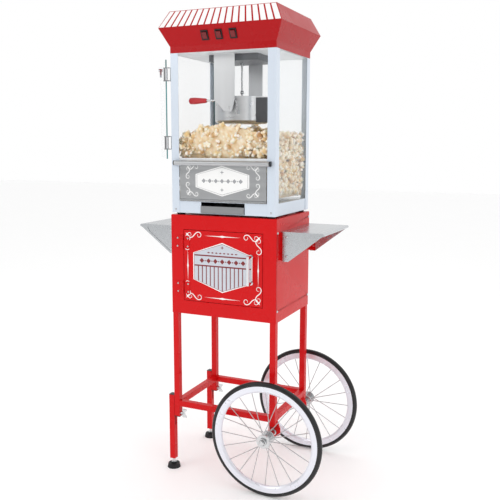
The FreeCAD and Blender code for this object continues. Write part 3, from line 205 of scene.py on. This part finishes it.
def tyre_rubber(name):
    """Black rubber with fine ribs that run round the tyre."""
    surface = Surface(name)
    dust = surface.spread(surface.noise(45.0, 4.0), 0.0, 1.0)
    clean, dusty = (0.004, 0.004, 0.005, 1), (0.010, 0.010, 0.011, 1)
    surface.wire("base_color", surface.mixed(dust, clean, dusty))
    surface.wire("roughness", surface.spread(dust, 0.3, 0.42, 0.0, 1.0))
    surface.bump(surface.bands(160.0, "Y"), 0.0002, 0.4)
    return surface.material


def wheel_rim(name):
    """Bright anodised rim with faint rolling marks."""
    surface = Surface(name, metallic=0.45, coat_weight=0.2, coat_roughness=0.1)
    marks = surface.noise(14.0, 3.0, (1, 6, 1))
    surface.wire("base_color", surface.mixed(marks, (0.74, 0.75, 0.82, 1), (0.84, 0.85, 0.91, 1)))
    surface.wire("roughness", surface.spread(marks, 0.24, 0.36))
    return surface.material


def clear_glass(name, colour):
    """Clear sheet glass as a thin veil, so that daylight still reaches what is behind it."""
    surface = Surface(name, roughness=0.03)
    surface.wire("base_color", surface.tinted(surface.noise(4.0), colour, 1.0, 1.04))
    surface.wire("alpha", surface.spread(surface.noise(2.0), 0.09, 0.12))
    return surface.material


def glass_edge(name):
    """The dark green-blue look that a pane has through its cut edge."""
    surface = Surface(name, roughness=0.12, coat_weight=0.6)
    depth = surface.spread(surface.noise(30.0, 3.0, (1, 1, 0.2)), 0.0, 1.0)
    surface.wire("base_color", surface.mixed(depth, (0.02, 0.13, 0.13, 1), (0.10, 0.36, 0.36, 1)))
    return surface.material


def popcorn_skin(name):
    """Cream flakes, golden in their folds and darker deeper in them, as painted shade in the
    creases.

    The points of the mesh store how deep in the folds they are as red, which sets the golden colour
    and the painted shade of the creases, how yellow the cream is as green, and how brown the folds
    are as blue.
    """
    surface = Surface(name, roughness=0.72, subsurface_weight=0.1, subsurface_scale=0.002)
    stored = surface.nodes.new("ShaderNodeAttribute")
    stored.attribute_name = "flake"
    parts = surface.nodes.new("ShaderNodeSeparateColor")
    surface.links.new(stored.outputs["Color"], parts.inputs["Color"])
    cream = surface.mixed(parts.outputs["Green"], (0.86, 0.82, 0.73, 1), (0.84, 0.72, 0.50, 1))
    golden = surface.mixed(parts.outputs["Blue"], (0.74, 0.52, 0.25, 1), (0.42, 0.19, 0.06, 1))
    # Painted shade: the deeper a point lies in the folds, the more golden and darker it is.
    fold_shade = surface.spread(parts.outputs["Red"], 0.0, 1.0, 0.52, 1.0)
    surface.wire("base_color", surface.mixed(fold_shade, cream, golden))
    surface.bump(surface.noise(700.0, 4.0), 0.0005, 0.5)
    return surface.material


def printed(name, colour, metallic=0.0):
    """A thin printed film."""
    surface = Surface(name, metallic=metallic, coat_weight=0.4, coat_roughness=0.1)
    surface.wire("base_color", surface.tinted(surface.noise(40.0, 3.0), colour, 0.96, 1.02))
    surface.wire("roughness", surface.spread(surface.noise(90.0), 0.28, 0.4))
    return surface.material


# Noise stretched along one axis, for steel that was brushed along it.
ALONG_X = (0.02, 1, 1)
ALONG_Y = (1, 0.02, 1)
ALONG_Z = (1, 1, 0.02)

red = enamel("red_enamel", RED)
canopy_red = enamel("canopy_enamel", CANOPY_RED)
silver = silver_paint("silver_paint")
white_metal = moulded("white_enamel", (0.74, 0.76, 0.78, 1), (0.3, 0.42), 500.0, 0.00002)
flap_steel = brushed("flap_steel", (0.52, 0.53, 0.54, 1), ALONG_X, (0.28, 0.42))
shelf_steel = brushed("shelf_steel", (0.58, 0.60, 0.62, 1), ALONG_Y, (0.2, 0.32))
strap_steel = brushed("strap_steel", (0.78, 0.79, 0.80, 1), ALONG_Z, (0.3, 0.45))
pot_steel = brushed("pot_steel", (0.84, 0.85, 0.86, 1), ALONG_X, (0.25, 0.4))
drawer_steel = brushed("drawer_steel", (0.36, 0.37, 0.38, 1), ALONG_X, (0.35, 0.5))
chrome = polished("chrome", (0.78, 0.79, 0.81, 1))
zinc = polished("bright_zinc", (0.66, 0.67, 0.68, 1), (0.18, 0.34))
spoke_wire = polished("spoke_wire", (0.50, 0.50, 0.51, 1), (0.25, 0.4))
rim = wheel_rim("rim_metal")
tyre = tyre_rubber("tyre_rubber")
rubber = moulded("black_rubber", (0.014, 0.014, 0.016, 1), (0.5, 0.65))
black_plastic = moulded("black_plastic", (0.006, 0.006, 0.007, 1), (0.28, 0.4))
dark_metal = moulded("dark_metal", (0.075, 0.078, 0.085, 1), (0.4, 0.5), 1400.0, 0.00003)
housing = moulded("housing_grey", (0.15, 0.155, 0.165, 1), (0.35, 0.5), 1400.0, 0.00003)
rocker_red = moulded("rocker_red", (0.17, 0.003, 0.006, 1), (0.16, 0.26), 400.0, 0.00001, coat=0.2)
grip_red = moulded("grip_red", (0.50, 0.028, 0.035, 1), (0.3, 0.42), 700.0, 0.00004, coat=0.2)
glass = clear_glass("clear_glass", (0.86, 0.92, 0.95, 1))
edge_glass = glass_edge("glass_edge")
flakes = popcorn_skin("popcorn_flakes")
white_film = printed("white_film", WHITE)
silver_film = printed("silver_film", (0.60, 0.63, 0.69, 1), 0.35)
red_film = printed("deep_red_film", DEEP_RED)
grey_film = printed("grey_film", GREY)

LOOKS = {
    red: ["axle_brackets", "cabinet_door", "cabinet_floor", "cabinet_front_frame",
          "cabinet_hinge_leaves", "cabinet_left_panel", "cabinet_rear_panel",
          "cabinet_right_panel", "cabinet_top_panel", "door_hinge_leaves", "leg_extension_front",
          "leg_extension_rear", "legs", "lower_stretchers"],
    canopy_red: ["canopy_roof", "canopy_skirt"],
    silver: ["corner_posts", "machine_base"],
    white_metal: ["ceiling_plate", "front_sill"],
    flap_steel: ["front_flap", "flap_bar"],
    drawer_steel: ["kernel_drawer"],
    shelf_steel: ["shelf_left", "shelf_right", "popcorn_deck"],
    strap_steel: ["kettle_hangers"],
    pot_steel: ["kettle_pot", "kettle_lid_flap"],
    chrome: ["cabinet_door_handle", "glass_door_fittings", "glass_door_pivots"],
    zinc: ["clamp_screw_front", "clamp_screw_rear", "dome_screws", "kettle_handle", "stirrer",
           "stirrer_coupling", "wheel_stub_axles", "wheel_front_hub", "wheel_rear_hub"],
    rim: ["wheel_front_rim", "wheel_rear_rim"],
    tyre: ["wheel_front_tyre", "wheel_rear_tyre"],
    rubber: ["levelling_foot_front", "levelling_foot_rear", "rubber_feet_and_gland"],
    black_plastic: ["leg_tube_plugs", "switch_bezels", "flap_pivot_ears"],
    dark_metal: ["kettle_heater_box"],
    housing: ["stirring_motor_housing"],
    rocker_red: ["switch_rocker_1", "switch_rocker_2", "switch_rocker_3"],
    grip_red: ["kettle_grip"],
    glass: ["glass_door", "glass_panes"],
    flakes: ["popcorn_heap"],
}


# Measures that tell one material's faces from another's on the same node: the width of a pane's
# edge, the height of a leg's cap, the height at which a foot's stud begins, the distance from the
# axle at which the spokes begin, the distance from the door's front to the heads of the hinge
# screws, and how far the hinge's barrel reaches from its middle.
PANE_EDGE_WIDTH = 0.006
CAP_HEIGHT = 0.0021
STUD_BOTTOM = 0.0199
SPOKES_BEGIN = 0.0232
SCREW_HEADS_BEGIN = 0.0016
BARREL_REACH = 0.008


def dress(mesh, material):
    """Give the mesh this material and no other."""
    mesh.materials.clear()
    mesh.materials.append(material)


def recolour(node, material, chosen):
    """Give a second material to the node's faces that the test chooses."""
    mesh = nodes[node].data
    mesh.materials.append(material)
    index = len(mesh.materials) - 1
    for face in mesh.polygons:
        if chosen(face, mesh):
            face.material_index = index


def is_pane_edge(face, mesh):
    """True for a face about as narrow as a pane is thick."""
    corners = [mesh.vertices[i].co for i in face.vertices]
    longest = max((a - b).length for a, b in zip(corners, corners[1:] + corners[:1]))
    return 2 * face.area / longest < PANE_EDGE_WIDTH


def dress_everything():
    """Every node's material, then the second material of the nodes that have one."""
    for material, names in LOOKS.items():
        for name in names:
            dress(nodes[name].data, material)
    recolour("glass_panes", edge_glass, is_pane_edge)
    hinge_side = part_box("glass_door")[0].y + PANE_EDGE_WIDTH
    recolour("glass_door", edge_glass, lambda face, mesh: face.center.y < hinge_side)
    for place in ("front", "rear"):
        cap_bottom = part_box(f"leg_extension_{place}")[1].z - CAP_HEIGHT
        recolour(f"leg_extension_{place}", black_plastic,
                 lambda face, mesh: face.center.z > cap_bottom)
        recolour(f"levelling_foot_{place}", zinc, lambda face, mesh: face.center.z > STUD_BOTTOM)
        hub_low, hub_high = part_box(f"wheel_{place}_hub")
        middle = (hub_low + hub_high) / 2
        recolour(f"wheel_{place}_hub", spoke_wire, lambda face, mesh: math.hypot(
            face.center.x - middle.x, face.center.z - middle.z) > SPOKES_BEGIN)
    leaf_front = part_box("cabinet_door")[0].y - SCREW_HEADS_BEGIN
    barrel = (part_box("cabinet_hinge_leaves")[1].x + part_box("door_hinge_leaves")[0].x) / 2
    for name in ("cabinet_hinge_leaves", "door_hinge_leaves"):
        recolour(name, zinc, lambda face, mesh: (
            face.center.y < leaf_front and abs(face.center.x - barrel) > BARREL_REACH))


# ---------------------------------------------------------------- printed film

# The shapes of one film come in runs of HEIGHTS, each thinner than the one before by this share.
HEIGHTS = 8
THINNER = 0.06


def film(name, outlines, place, layer, material, body, slot):
    """Flat shapes of printed film on the plane of a matrix, whose local Z points out of it.

    Their thickness varies a little, so that neighbours that overlap don't share a plane.
    """
    sheet = bmesh.new()
    for number, outline in enumerate(outlines):
        height = FILM * (1 - THINNER * (number % HEIGHTS))
        low = [sheet.verts.new((across, up, 0.0)) for across, up in outline]
        high = [sheet.verts.new((across, up, height)) for across, up in outline]
        sheet.faces.new(low)
        sheet.faces.new(high)
        for i, corner in enumerate(low):
            sheet.faces.new((corner, high[i], high[i - 1], low[i - 1]))
    bmesh.ops.recalc_face_normals(sheet, faces=sheet.faces)
    mesh = bpy.data.meshes.new(name)
    sheet.to_mesh(mesh)
    sheet.free()
    mesh.materials.append(material)
    piece = add(name, mesh)
    piece.matrix_world = place @ Matrix.Translation((0, 0, layer * FILM))
    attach(piece, body)


def front_plane(node):
    """The plane of a node's front, about the middle of its box."""
    low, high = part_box(node)
    return Matrix.Translation(((low.x + high.x) / 2, low.y, (low.z + high.z) / 2)) @ FRONT


def moved(outline, across=0.0, up=0.0, flip=(1, 1)):
    """The outline flipped about its own axes, then moved."""
    return [(flip[0] * u + across, flip[1] * v + up) for u, v in outline]


def bar(low_u, low_v, high_u, high_v):
    """An upright rectangle between two corners."""
    return [(low_u, low_v), (high_u, low_v), (high_u, high_v), (low_u, high_v)]


def hexagon(half_width, half_height, half_side):
    """A hexagon with upright sides and a point at its top and bottom."""
    return [(-half_width, -half_side), (0, -half_height), (half_width, -half_side),
            (half_width, half_side), (0, half_height), (-half_width, half_side)]


def inset(sizes, *margins):
    """A hexagon's half width, half height and half side, each less its margin."""
    return [size - margin for size, margin in zip(sizes, margins)]


def lozenge(half_width, half_height):
    return [(-half_width, 0), (0, -half_height), (half_width, 0), (0, half_height)]


def pointed_line(half_length, half_width):
    """A long line that swells to a small point on each side of its middle."""
    near = 0.16 * half_length
    peak = 2.1 * half_width
    upper = [(near, half_width), (0, peak), (-near, half_width)]
    return [(-half_length, 0), *[(-u, -v) for u, v in upper], (half_length, 0), *upper]


def disc(radius, steps=14):
    return [(radius * math.cos(2 * math.pi * i / steps), radius * math.sin(2 * math.pi * i / steps))
            for i in range(steps)]


def scroll(reach, thickness, turn=6.4, tightening=1.7, tilt=0.9, thin_end=0.35, steps=72):
    """An S-shaped ribbon with curled ends and a swelling middle, about its own middle."""
    t = np.linspace(-1.0, 1.0, steps)
    heading = turn * np.abs(t) ** tightening - tilt
    x = np.cumsum(np.cos(heading))
    y = np.cumsum(np.sin(heading))
    x -= x.mean()
    y -= y.mean()
    size = reach / (x.max() - x.min())
    half = thickness / 2 * (thin_end + (1 - thin_end) * np.cos(t * math.pi / 2))
    left = zip(x * size - half * np.sin(heading), y * size + half * np.cos(heading))
    right = zip(x * size + half * np.sin(heading), y * size - half * np.cos(heading))
    return [tuple(p) for p in left] + [tuple(p) for p in right][::-1]


def turned(outline, angle):
    """The outline turned about the local origin."""
    c, s = math.cos(angle), math.sin(angle)
    return [(c * u - s * v, s * u + c * v) for u, v in outline]


def corner_ornament(reach, thickness):
    """Two scrolls, a four-pointed star and a dot round an upper right corner at the origin.

    Everything is placed and sized in shares of a scroll's reach.
    """
    along = moved(scroll(reach, thickness), -0.62 * reach, -0.10 * reach)
    down = turned(moved(scroll(reach, thickness), 0.62 * reach, 0.10 * reach, (-1, 1)), -math.pi / 2)
    down = moved(down, -0.20 * reach)
    ray = lozenge(0.16 * reach, 0.045 * reach)
    star = [moved(turned(ray, angle), -0.08 * reach, -0.08 * reach)
            for angle in (math.pi / 4, -math.pi / 4)]
    dot = moved(disc(0.05 * reach), -0.22 * reach, -0.22 * reach)
    return [along, down, *star, dot]


def four_corners(reach, thickness, half_width, half_height):
    """A corner ornament, mirrored into each corner of a rectangle."""
    shapes = []
    for side in (-1, 1):
        for end in (-1, 1):
            shapes += [moved(shape, side * half_width, end * half_height, (side, end))
                       for shape in corner_ornament(reach, thickness)]
    return shapes


def ring(outer, inner):
    """The band between two outlines with the same number of corners, as separate shapes."""
    count = len(outer)
    sides = [(i, (i + 1) % count) for i in range(count)]
    return [[outer[i], outer[j], inner[j], inner[i]] for i, j in sides]


def clipped_height(u, half_width, half_height, half_side):
    """How far up or down the hexagon reaches at a distance u from its middle."""
    return half_side + (half_height - half_side) * (1 - abs(u) / half_width)


def door_badge():
    """The six-sided badge, with two divider lines, upright stripes and a row of lozenges."""
    place = front_plane("cabinet_door")
    rides = ("cabinet_door", "cabinet_red")
    outer = (0.1075, 0.083, 0.045)
    border = 0.0035
    keyline = inset(outer, border, border * 1.1, border * 0.2)
    face = inset(keyline, 0.0014, 0.0016, 0.0004)
    film("badge_border", [hexagon(*outer)], place, 0, white_film, *rides)
    film("badge_keyline", [hexagon(*keyline)], place, 1, red_film, *rides)
    film("badge_field", [hexagon(*face)], place, 2, silver_film, *rides)
    upper, lower = 0.0375, 0.0035
    half_divider, half_stripe, clearance = 0.0022, 0.0017, 0.0006
    lines = [bar(-face[0], v - half_divider, face[0], v + half_divider) for v in (upper, lower)]
    columns = 14
    pitch = 2 * face[0] / columns
    for i in range(1, columns):
        u = -face[0] + i * pitch
        foot = clearance - clipped_height(u, *face)
        lines.append(bar(u - half_stripe, foot, u + half_stripe, lower))
    film("badge_lines", lines, place, 3, red_film, *rides)
    middle = (upper + lower) / 2
    row = [moved(lozenge(0.0085, 0.0085), u, middle) for u in np.linspace(-0.075, 0.075, 7)]
    row += [moved(disc(0.0022), u, middle) for u in np.linspace(-0.0625, 0.0625, 6)]
    small = [moved(lozenge(0.0055, 0.0026), u, upper + 0.0105) for u in np.linspace(-0.05, 0.05, 8)]
    small += [moved(turned(lozenge(0.0065, 0.0022), angle), 0, 0.0665) for angle in (0, math.pi / 2)]
    film("badge_ornaments", row + small, place, 3, red_film, *rides)


def door_trim():
    """White scrolls in the door's corners and pointed lines along its sides."""
    place = front_plane("cabinet_door")
    half_width, half_height = 0.128, 0.103
    beyond = 0.006
    shapes = four_corners(0.050, 0.0030, half_width + beyond, half_height + beyond)
    for side in (-1, 1):
        shapes.append(moved(pointed_line(0.066, 0.0016), 0, side * half_height))
        shapes.append(moved(turned(pointed_line(0.052, 0.0014), math.pi / 2), side * half_width, 0))
    film("door_scrolls", shapes, place, 0, white_film, "cabinet_door", "cabinet_red")


def flap_badge():
    """The flap's white badge with a grey keyline and small ornaments, and its corner scrolls."""
    low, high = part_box("front_flap")
    face_setback, badge_drop = 0.005, 0.052
    badge_middle = ((low.x + high.x) / 2, low.y + face_setback, high.z - badge_drop)
    place = Matrix.Translation(badge_middle) @ FRONT
    rides = ("front_flap", "stainless")
    outer = (0.096, 0.049, 0.021)
    film("flap_badge_white", [hexagon(*outer)], place, 0, white_film, *rides)
    line_outside = inset(outer, 0.0045, 0.0042, 0.0016)
    line_inside = inset(line_outside, 0.0012, 0.0013, 0.0004)
    keyline = ring(hexagon(*line_outside), hexagon(*line_inside))
    film("flap_badge_keyline", keyline, place, 1, grey_film, *rides)
    shapes = [moved(lozenge(0.0075, 0.0075), u, 0) for u in np.linspace(-0.066, 0.066, 7)]
    shapes += [moved(disc(0.002), u, 0) for u in np.linspace(-0.055, 0.055, 6)]
    for height in (-0.028, 0.028):
        shapes += [moved(turned(lozenge(0.0075, 0.0022), angle), 0, height)
                   for angle in (0, math.pi / 2)]
        shapes.append(moved(disc(0.0022), 0, height))
    film("flap_badge_ornaments", shapes, place, 1, grey_film, *rides)
    corners = four_corners(0.036, 0.0028, 0.128, 0.047)
    half_line = (high.x - low.x) / 2 - 0.003
    line_top = low.z - high.z + badge_drop + 0.004
    bottom_line = bar(-half_line, line_top - 0.0035, half_line, line_top)
    film("flap_scrolls", [*corners, bottom_line], place, 0, white_film, *rides)


def roof_stripes():
    """White stripes that narrow upwards on the front slope of the roof.

    Each of the roof's four slopes leans in by the same distance over its rise.
    """
    low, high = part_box("canopy_roof")
    middle = (low.x + high.x) / 2
    lean = 0.027
    eave_half = (high.x - low.x) / 2
    top_half = eave_half - lean
    rise = high.z - low.z
    slope = math.hypot(rise, lean)
    out = Vector((0, -rise, lean)) / slope
    up = Vector((0, lean, rise)) / slope
    place = Matrix((
        (1, up.x, out.x, middle),
        (0, up.y, out.y, low.y),
        (0, up.z, out.z, low.z),
        (0, 0, 0, 1)))
    count = 18
    gap = 0.125
    bottom, top = 0.03 * slope, 0.97 * slope
    stripes = []
    for i in range(count):
        start = -1 + 2 * (i + gap) / count
        end = -1 + 2 * (i + 1 - gap) / count
        stripes.append([(start * eave_half, bottom), (end * eave_half, bottom),
                        (end * top_half, top), (start * top_half, top)])
    film("roof_stripes", stripes, place, 0, white_film, "cart", "canopy_red")


# ---------------------------------------------------------------- popcorn

def lobe_directions(generator, flake_count, lobe_count):
    """Random unit vectors, lobe_count for each flake."""
    spread = generator.normal(size=(flake_count, lobe_count, 3))
    return spread / np.linalg.norm(spread, axis=2, keepdims=True)


def unit_sphere(subdivisions):
    ball = bmesh.new()
    bmesh.ops.create_icosphere(ball, subdivisions=subdivisions, radius=1.0)
    points = np.array([v.co for v in ball.verts])
    faces = np.array([[v.index for v in f.verts] for f in ball.faces])
    ball.free()
    return points, faces


def random_turns(generator, count):
    """Random rotation matrices."""
    quaternions = generator.normal(size=(count, 4))
    w, x, y, z = (quaternions / np.linalg.norm(quaternions, axis=1, keepdims=True)).T
    return np.array([
        [1 - 2 * (y * y + z * z), 2 * (x * y - z * w), 2 * (x * z + y * w)],
        [2 * (x * y + z * w), 1 - 2 * (x * x + z * z), 2 * (y * z - x * w)],
        [2 * (x * z - y * w), 2 * (y * z + x * w), 1 - 2 * (x * x + y * y)]]).transpose(2, 0, 1)


def flake_places(heap, generator, pitch):
    """Points of a jittered grid that lie just under the visible faces of the heap.

    Jitter and depths are shares of the grid's pitch.
    """
    jitter, shallowest, deepest = 0.32, 0.5, 1.6
    faces_down = -0.7
    tree = BVHTree.FromObject(heap, bpy.context.evaluated_depsgraph_get())
    low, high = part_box("popcorn_heap")
    steps = [np.arange(low[i] + pitch / 2, high[i], pitch) for i in range(3)]
    grid = np.stack(np.meshgrid(*steps, indexing="ij"), axis=-1).reshape(-1, 3)
    grid += generator.uniform(-jitter, jitter, grid.shape) * pitch
    kept = []
    for point in grid:
        nearest, normal, _, distance = tree.find_nearest(Vector(point))
        inside = (Vector(point) - nearest).dot(normal) < 0
        hidden = normal.z < faces_down
        if inside and not hidden and shallowest * pitch < distance < deepest * pitch:
            kept.append(point)
    return np.array(kept)


def store_colours(mesh, colours):
    """Keep a colour for each point of the mesh, for popcorn_skin to read."""
    stored = mesh.attributes.new("flake", "FLOAT_COLOR", "POINT")
    stored.data.foreach_set("color", colours.reshape(-1))


def flake_mesh(name, places, generator, radius):
    """One mesh of lumpy flakes, each with lobes of its own, and colours stored on its points."""
    points, faces = unit_sphere(3)
    count, lobes = len(places), 7
    fold_reach, lobe_height, sharpness = 0.42, 0.62, 7.5
    nearness = np.einsum("vk,flk->fvl", points, lobe_directions(generator, count, lobes))
    heights = generator.uniform(0.55, 1.0, (count, 1, lobes))
    swell = (heights * np.exp(sharpness * (nearness - 1.0))).max(axis=2)
    reach = fold_reach + lobe_height * swell
    size = generator.uniform(0.78, 1.15, (count, 1, 1)) * radius
    local = points[None] * reach[..., None] * size
    turned_points = np.einsum("fij,fvj->fvi", random_turns(generator, count), local)
    low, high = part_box("popcorn_heap")
    every_point = (turned_points + places[:, None]).reshape(-1, 3).clip(low, high)
    offsets = np.arange(count)[:, None, None] * len(points)
    every_face = (faces[None] + offsets).reshape(-1, 3)
    mesh = bpy.data.meshes.new(name)
    mesh.from_pydata(every_point, [], every_face)
    colours = np.ones((count, len(points), 4))
    # Red: depth in the folds, which the skin turns into golden colour and painted shade in the
    # creases.
    colours[..., 0] = 1.0 - (reach - fold_reach) / lobe_height
    colours[..., 1] = generator.uniform(0, 1, (count, 1)) ** 1.3
    colours[..., 2] = generator.uniform(0, 1, (count, 1)) ** 2.5
    store_colours(mesh, colours)
    mesh.polygons.foreach_set("use_smooth", [True] * len(mesh.polygons))
    mesh.materials.append(flakes)
    return mesh


def heap_core(heap, depth):
    """A copy of the heap, smaller by a depth all round, that closes the gaps between the flakes and
    shows in them as golden painted shade.
    """
    core = add("popcorn_core", heap.data.copy())
    remesh = core.modifiers.new("even", "REMESH")
    remesh.mode = "VOXEL"
    remesh.voxel_size = 0.008
    shrink = core.modifiers.new("shrink", "DISPLACE")
    shrink.strength = -depth
    shrink.mid_level = 0.0
    evaluated = core.evaluated_get(bpy.context.evaluated_depsgraph_get())
    core.data = bpy.data.meshes.new_from_object(evaluated)
    core.modifiers.clear()
    count = len(core.data.vertices)
    generator = np.random.default_rng(5)
    # Fold depths from shallow to deep, so that the core shows golden, partly darkened colour:
    # painted shade in the gaps between the flakes.
    colours = np.ones((count, 4))
    colours[:, :3] = generator.uniform((0.55, 0.2, 0.0), (0.95, 0.9, 0.4), (count, 3))
    store_colours(core.data, colours)
    dress(core.data, flakes)
    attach(core, "cart")


def popcorn():
    """Loose flakes in place of the plain heap, in five lots so that no mesh is too large."""
    heap = nodes["popcorn_heap"]
    pitch, radius, core_depth = 0.0185, 0.0175, 0.026
    generator = np.random.default_rng(11)
    places = flake_places(heap, generator, pitch)
    for number, chosen in enumerate(np.array_split(places, 5), start=1):
        name = f"popcorn_{number}"
        piece = add(name, flake_mesh(name, chosen, generator, radius))
        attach(piece, "cart")
        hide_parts("popcorn_heap")
    heap_core(heap, core_depth)


# ---------------------------------------------------------------- soft edges

SOFT_NODES = ("legs", "lower_stretchers", "cabinet_left_panel", "cabinet_right_panel",
              "cabinet_door", "cabinet_front_frame", "canopy_skirt", "machine_base",
              "kernel_drawer")


def soften(node, width):
    """Round the node's sharp edges a little, so that they catch the light."""
    part = nodes[node]
    weld = part.modifiers.new("weld", "WELD")
    weld.merge_threshold = 0.00001
    bevel = part.modifiers.new("soft_edges", "BEVEL")
    bevel.width = width
    bevel.segments = 2
    bevel.limit_method = "ANGLE"
    bevel.angle_limit = math.radians(40)
    bevel.harden_normals = True


# ---------------------------------------------------------------- camera, floor and light

def make_camera():
    data = bpy.data.cameras.new("camera")
    data.lens = 49.64
    data.sensor_width = 36.0
    camera = add("camera", data)
    camera.location = (1.0139, -2.1353, 1.1292)
    camera.rotation_euler = (math.radians(81.34), math.radians(-0.15), math.radians(24.28))
    bpy.context.scene.camera = camera


def make_floor():
    surface = Surface("floor", roughness=0.7)
    darker, paler = (0.985, 0.985, 0.985, 1), (0.995, 0.995, 0.995, 1)
    surface.wire("base_color", surface.mixed(surface.noise(2.0), darker, paler))
    bpy.ops.mesh.primitive_plane_add(size=30.0)
    floor = bpy.context.object
    floor.name = "floor"
    floor.data.materials.append(surface.material)


LIT_POINT = Vector((0, 0.1, 0.9))


def soft_light(name, place, width, height, power):
    """A large lamp that faces the middle of the cart."""
    data = bpy.data.lights.new(name, "AREA")
    data.shape = "RECTANGLE"
    data.size = width
    data.size_y = height
    data.energy = power
    lamp = add(name, data)
    lamp.location = place
    aim = LIT_POINT - Vector(place)
    lamp.rotation_euler = aim.to_track_quat("-Z", "Y").to_euler()


def make_world():
    """Even white light, in which reflections show a studio that is darker in front."""
    world = bpy.data.worlds.new("studio")
    world.use_nodes = True
    bpy.context.scene.world = world
    tree = world.node_tree
    tree.nodes.clear()
    place = tree.nodes.new("ShaderNodeTexCoord")
    along = tree.nodes.new("ShaderNodeVectorMath")
    along.operation = "DOT_PRODUCT"
    along.inputs[1].default_value = (0.36, 0.78, 0.50)
    tree.links.new(place.outputs["Generated"], along.inputs[0])
    grade = tree.nodes.new("ShaderNodeMapRange")
    for name, value in (("From Min", -0.9), ("From Max", 0.9), ("To Min", 0.22), ("To Max", 1.0)):
        grade.inputs[name].default_value = value
    tree.links.new(along.outputs["Value"], grade.inputs["Value"])
    studio = tree.nodes.new("ShaderNodeBackground")
    studio.inputs["Color"].default_value = (1, 1, 1, 1)
    tree.links.new(grade.outputs["Result"], studio.inputs["Strength"])
    backdrop = tree.nodes.new("ShaderNodeBackground")
    backdrop.inputs["Color"].default_value = (1, 1, 1, 1)
    kind = tree.nodes.new("ShaderNodeLightPath")
    both = tree.nodes.new("ShaderNodeMixShader")
    tree.links.new(kind.outputs["Is Glossy Ray"], both.inputs["Fac"])
    tree.links.new(backdrop.outputs["Background"], both.inputs[1])
    tree.links.new(studio.outputs["Background"], both.inputs[2])
    output = tree.nodes.new("ShaderNodeOutputWorld")
    tree.links.new(both.outputs["Shader"], output.inputs["Surface"])


def make_lights():
    soft_light("key", (-1.9, -2.6, 2.6), 1.8, 1.8, 18.0)
    soft_light("fill", (2.8, -1.6, 1.6), 1.6, 2.2, 8.0)
    soft_light("top", (0.3, 0.4, 3.6), 2.4, 2.4, 12.0)


# ---------------------------------------------------------------- scene

bpy.context.scene.view_settings.view_transform = "Standard"
make_camera()
make_world()
make_lights()
make_floor()
dress_everything()
door_badge()
door_trim()
flap_badge()
roof_stripes()
popcorn()
for soft_node in SOFT_NODES:
    soften(soft_node, 0.0006)
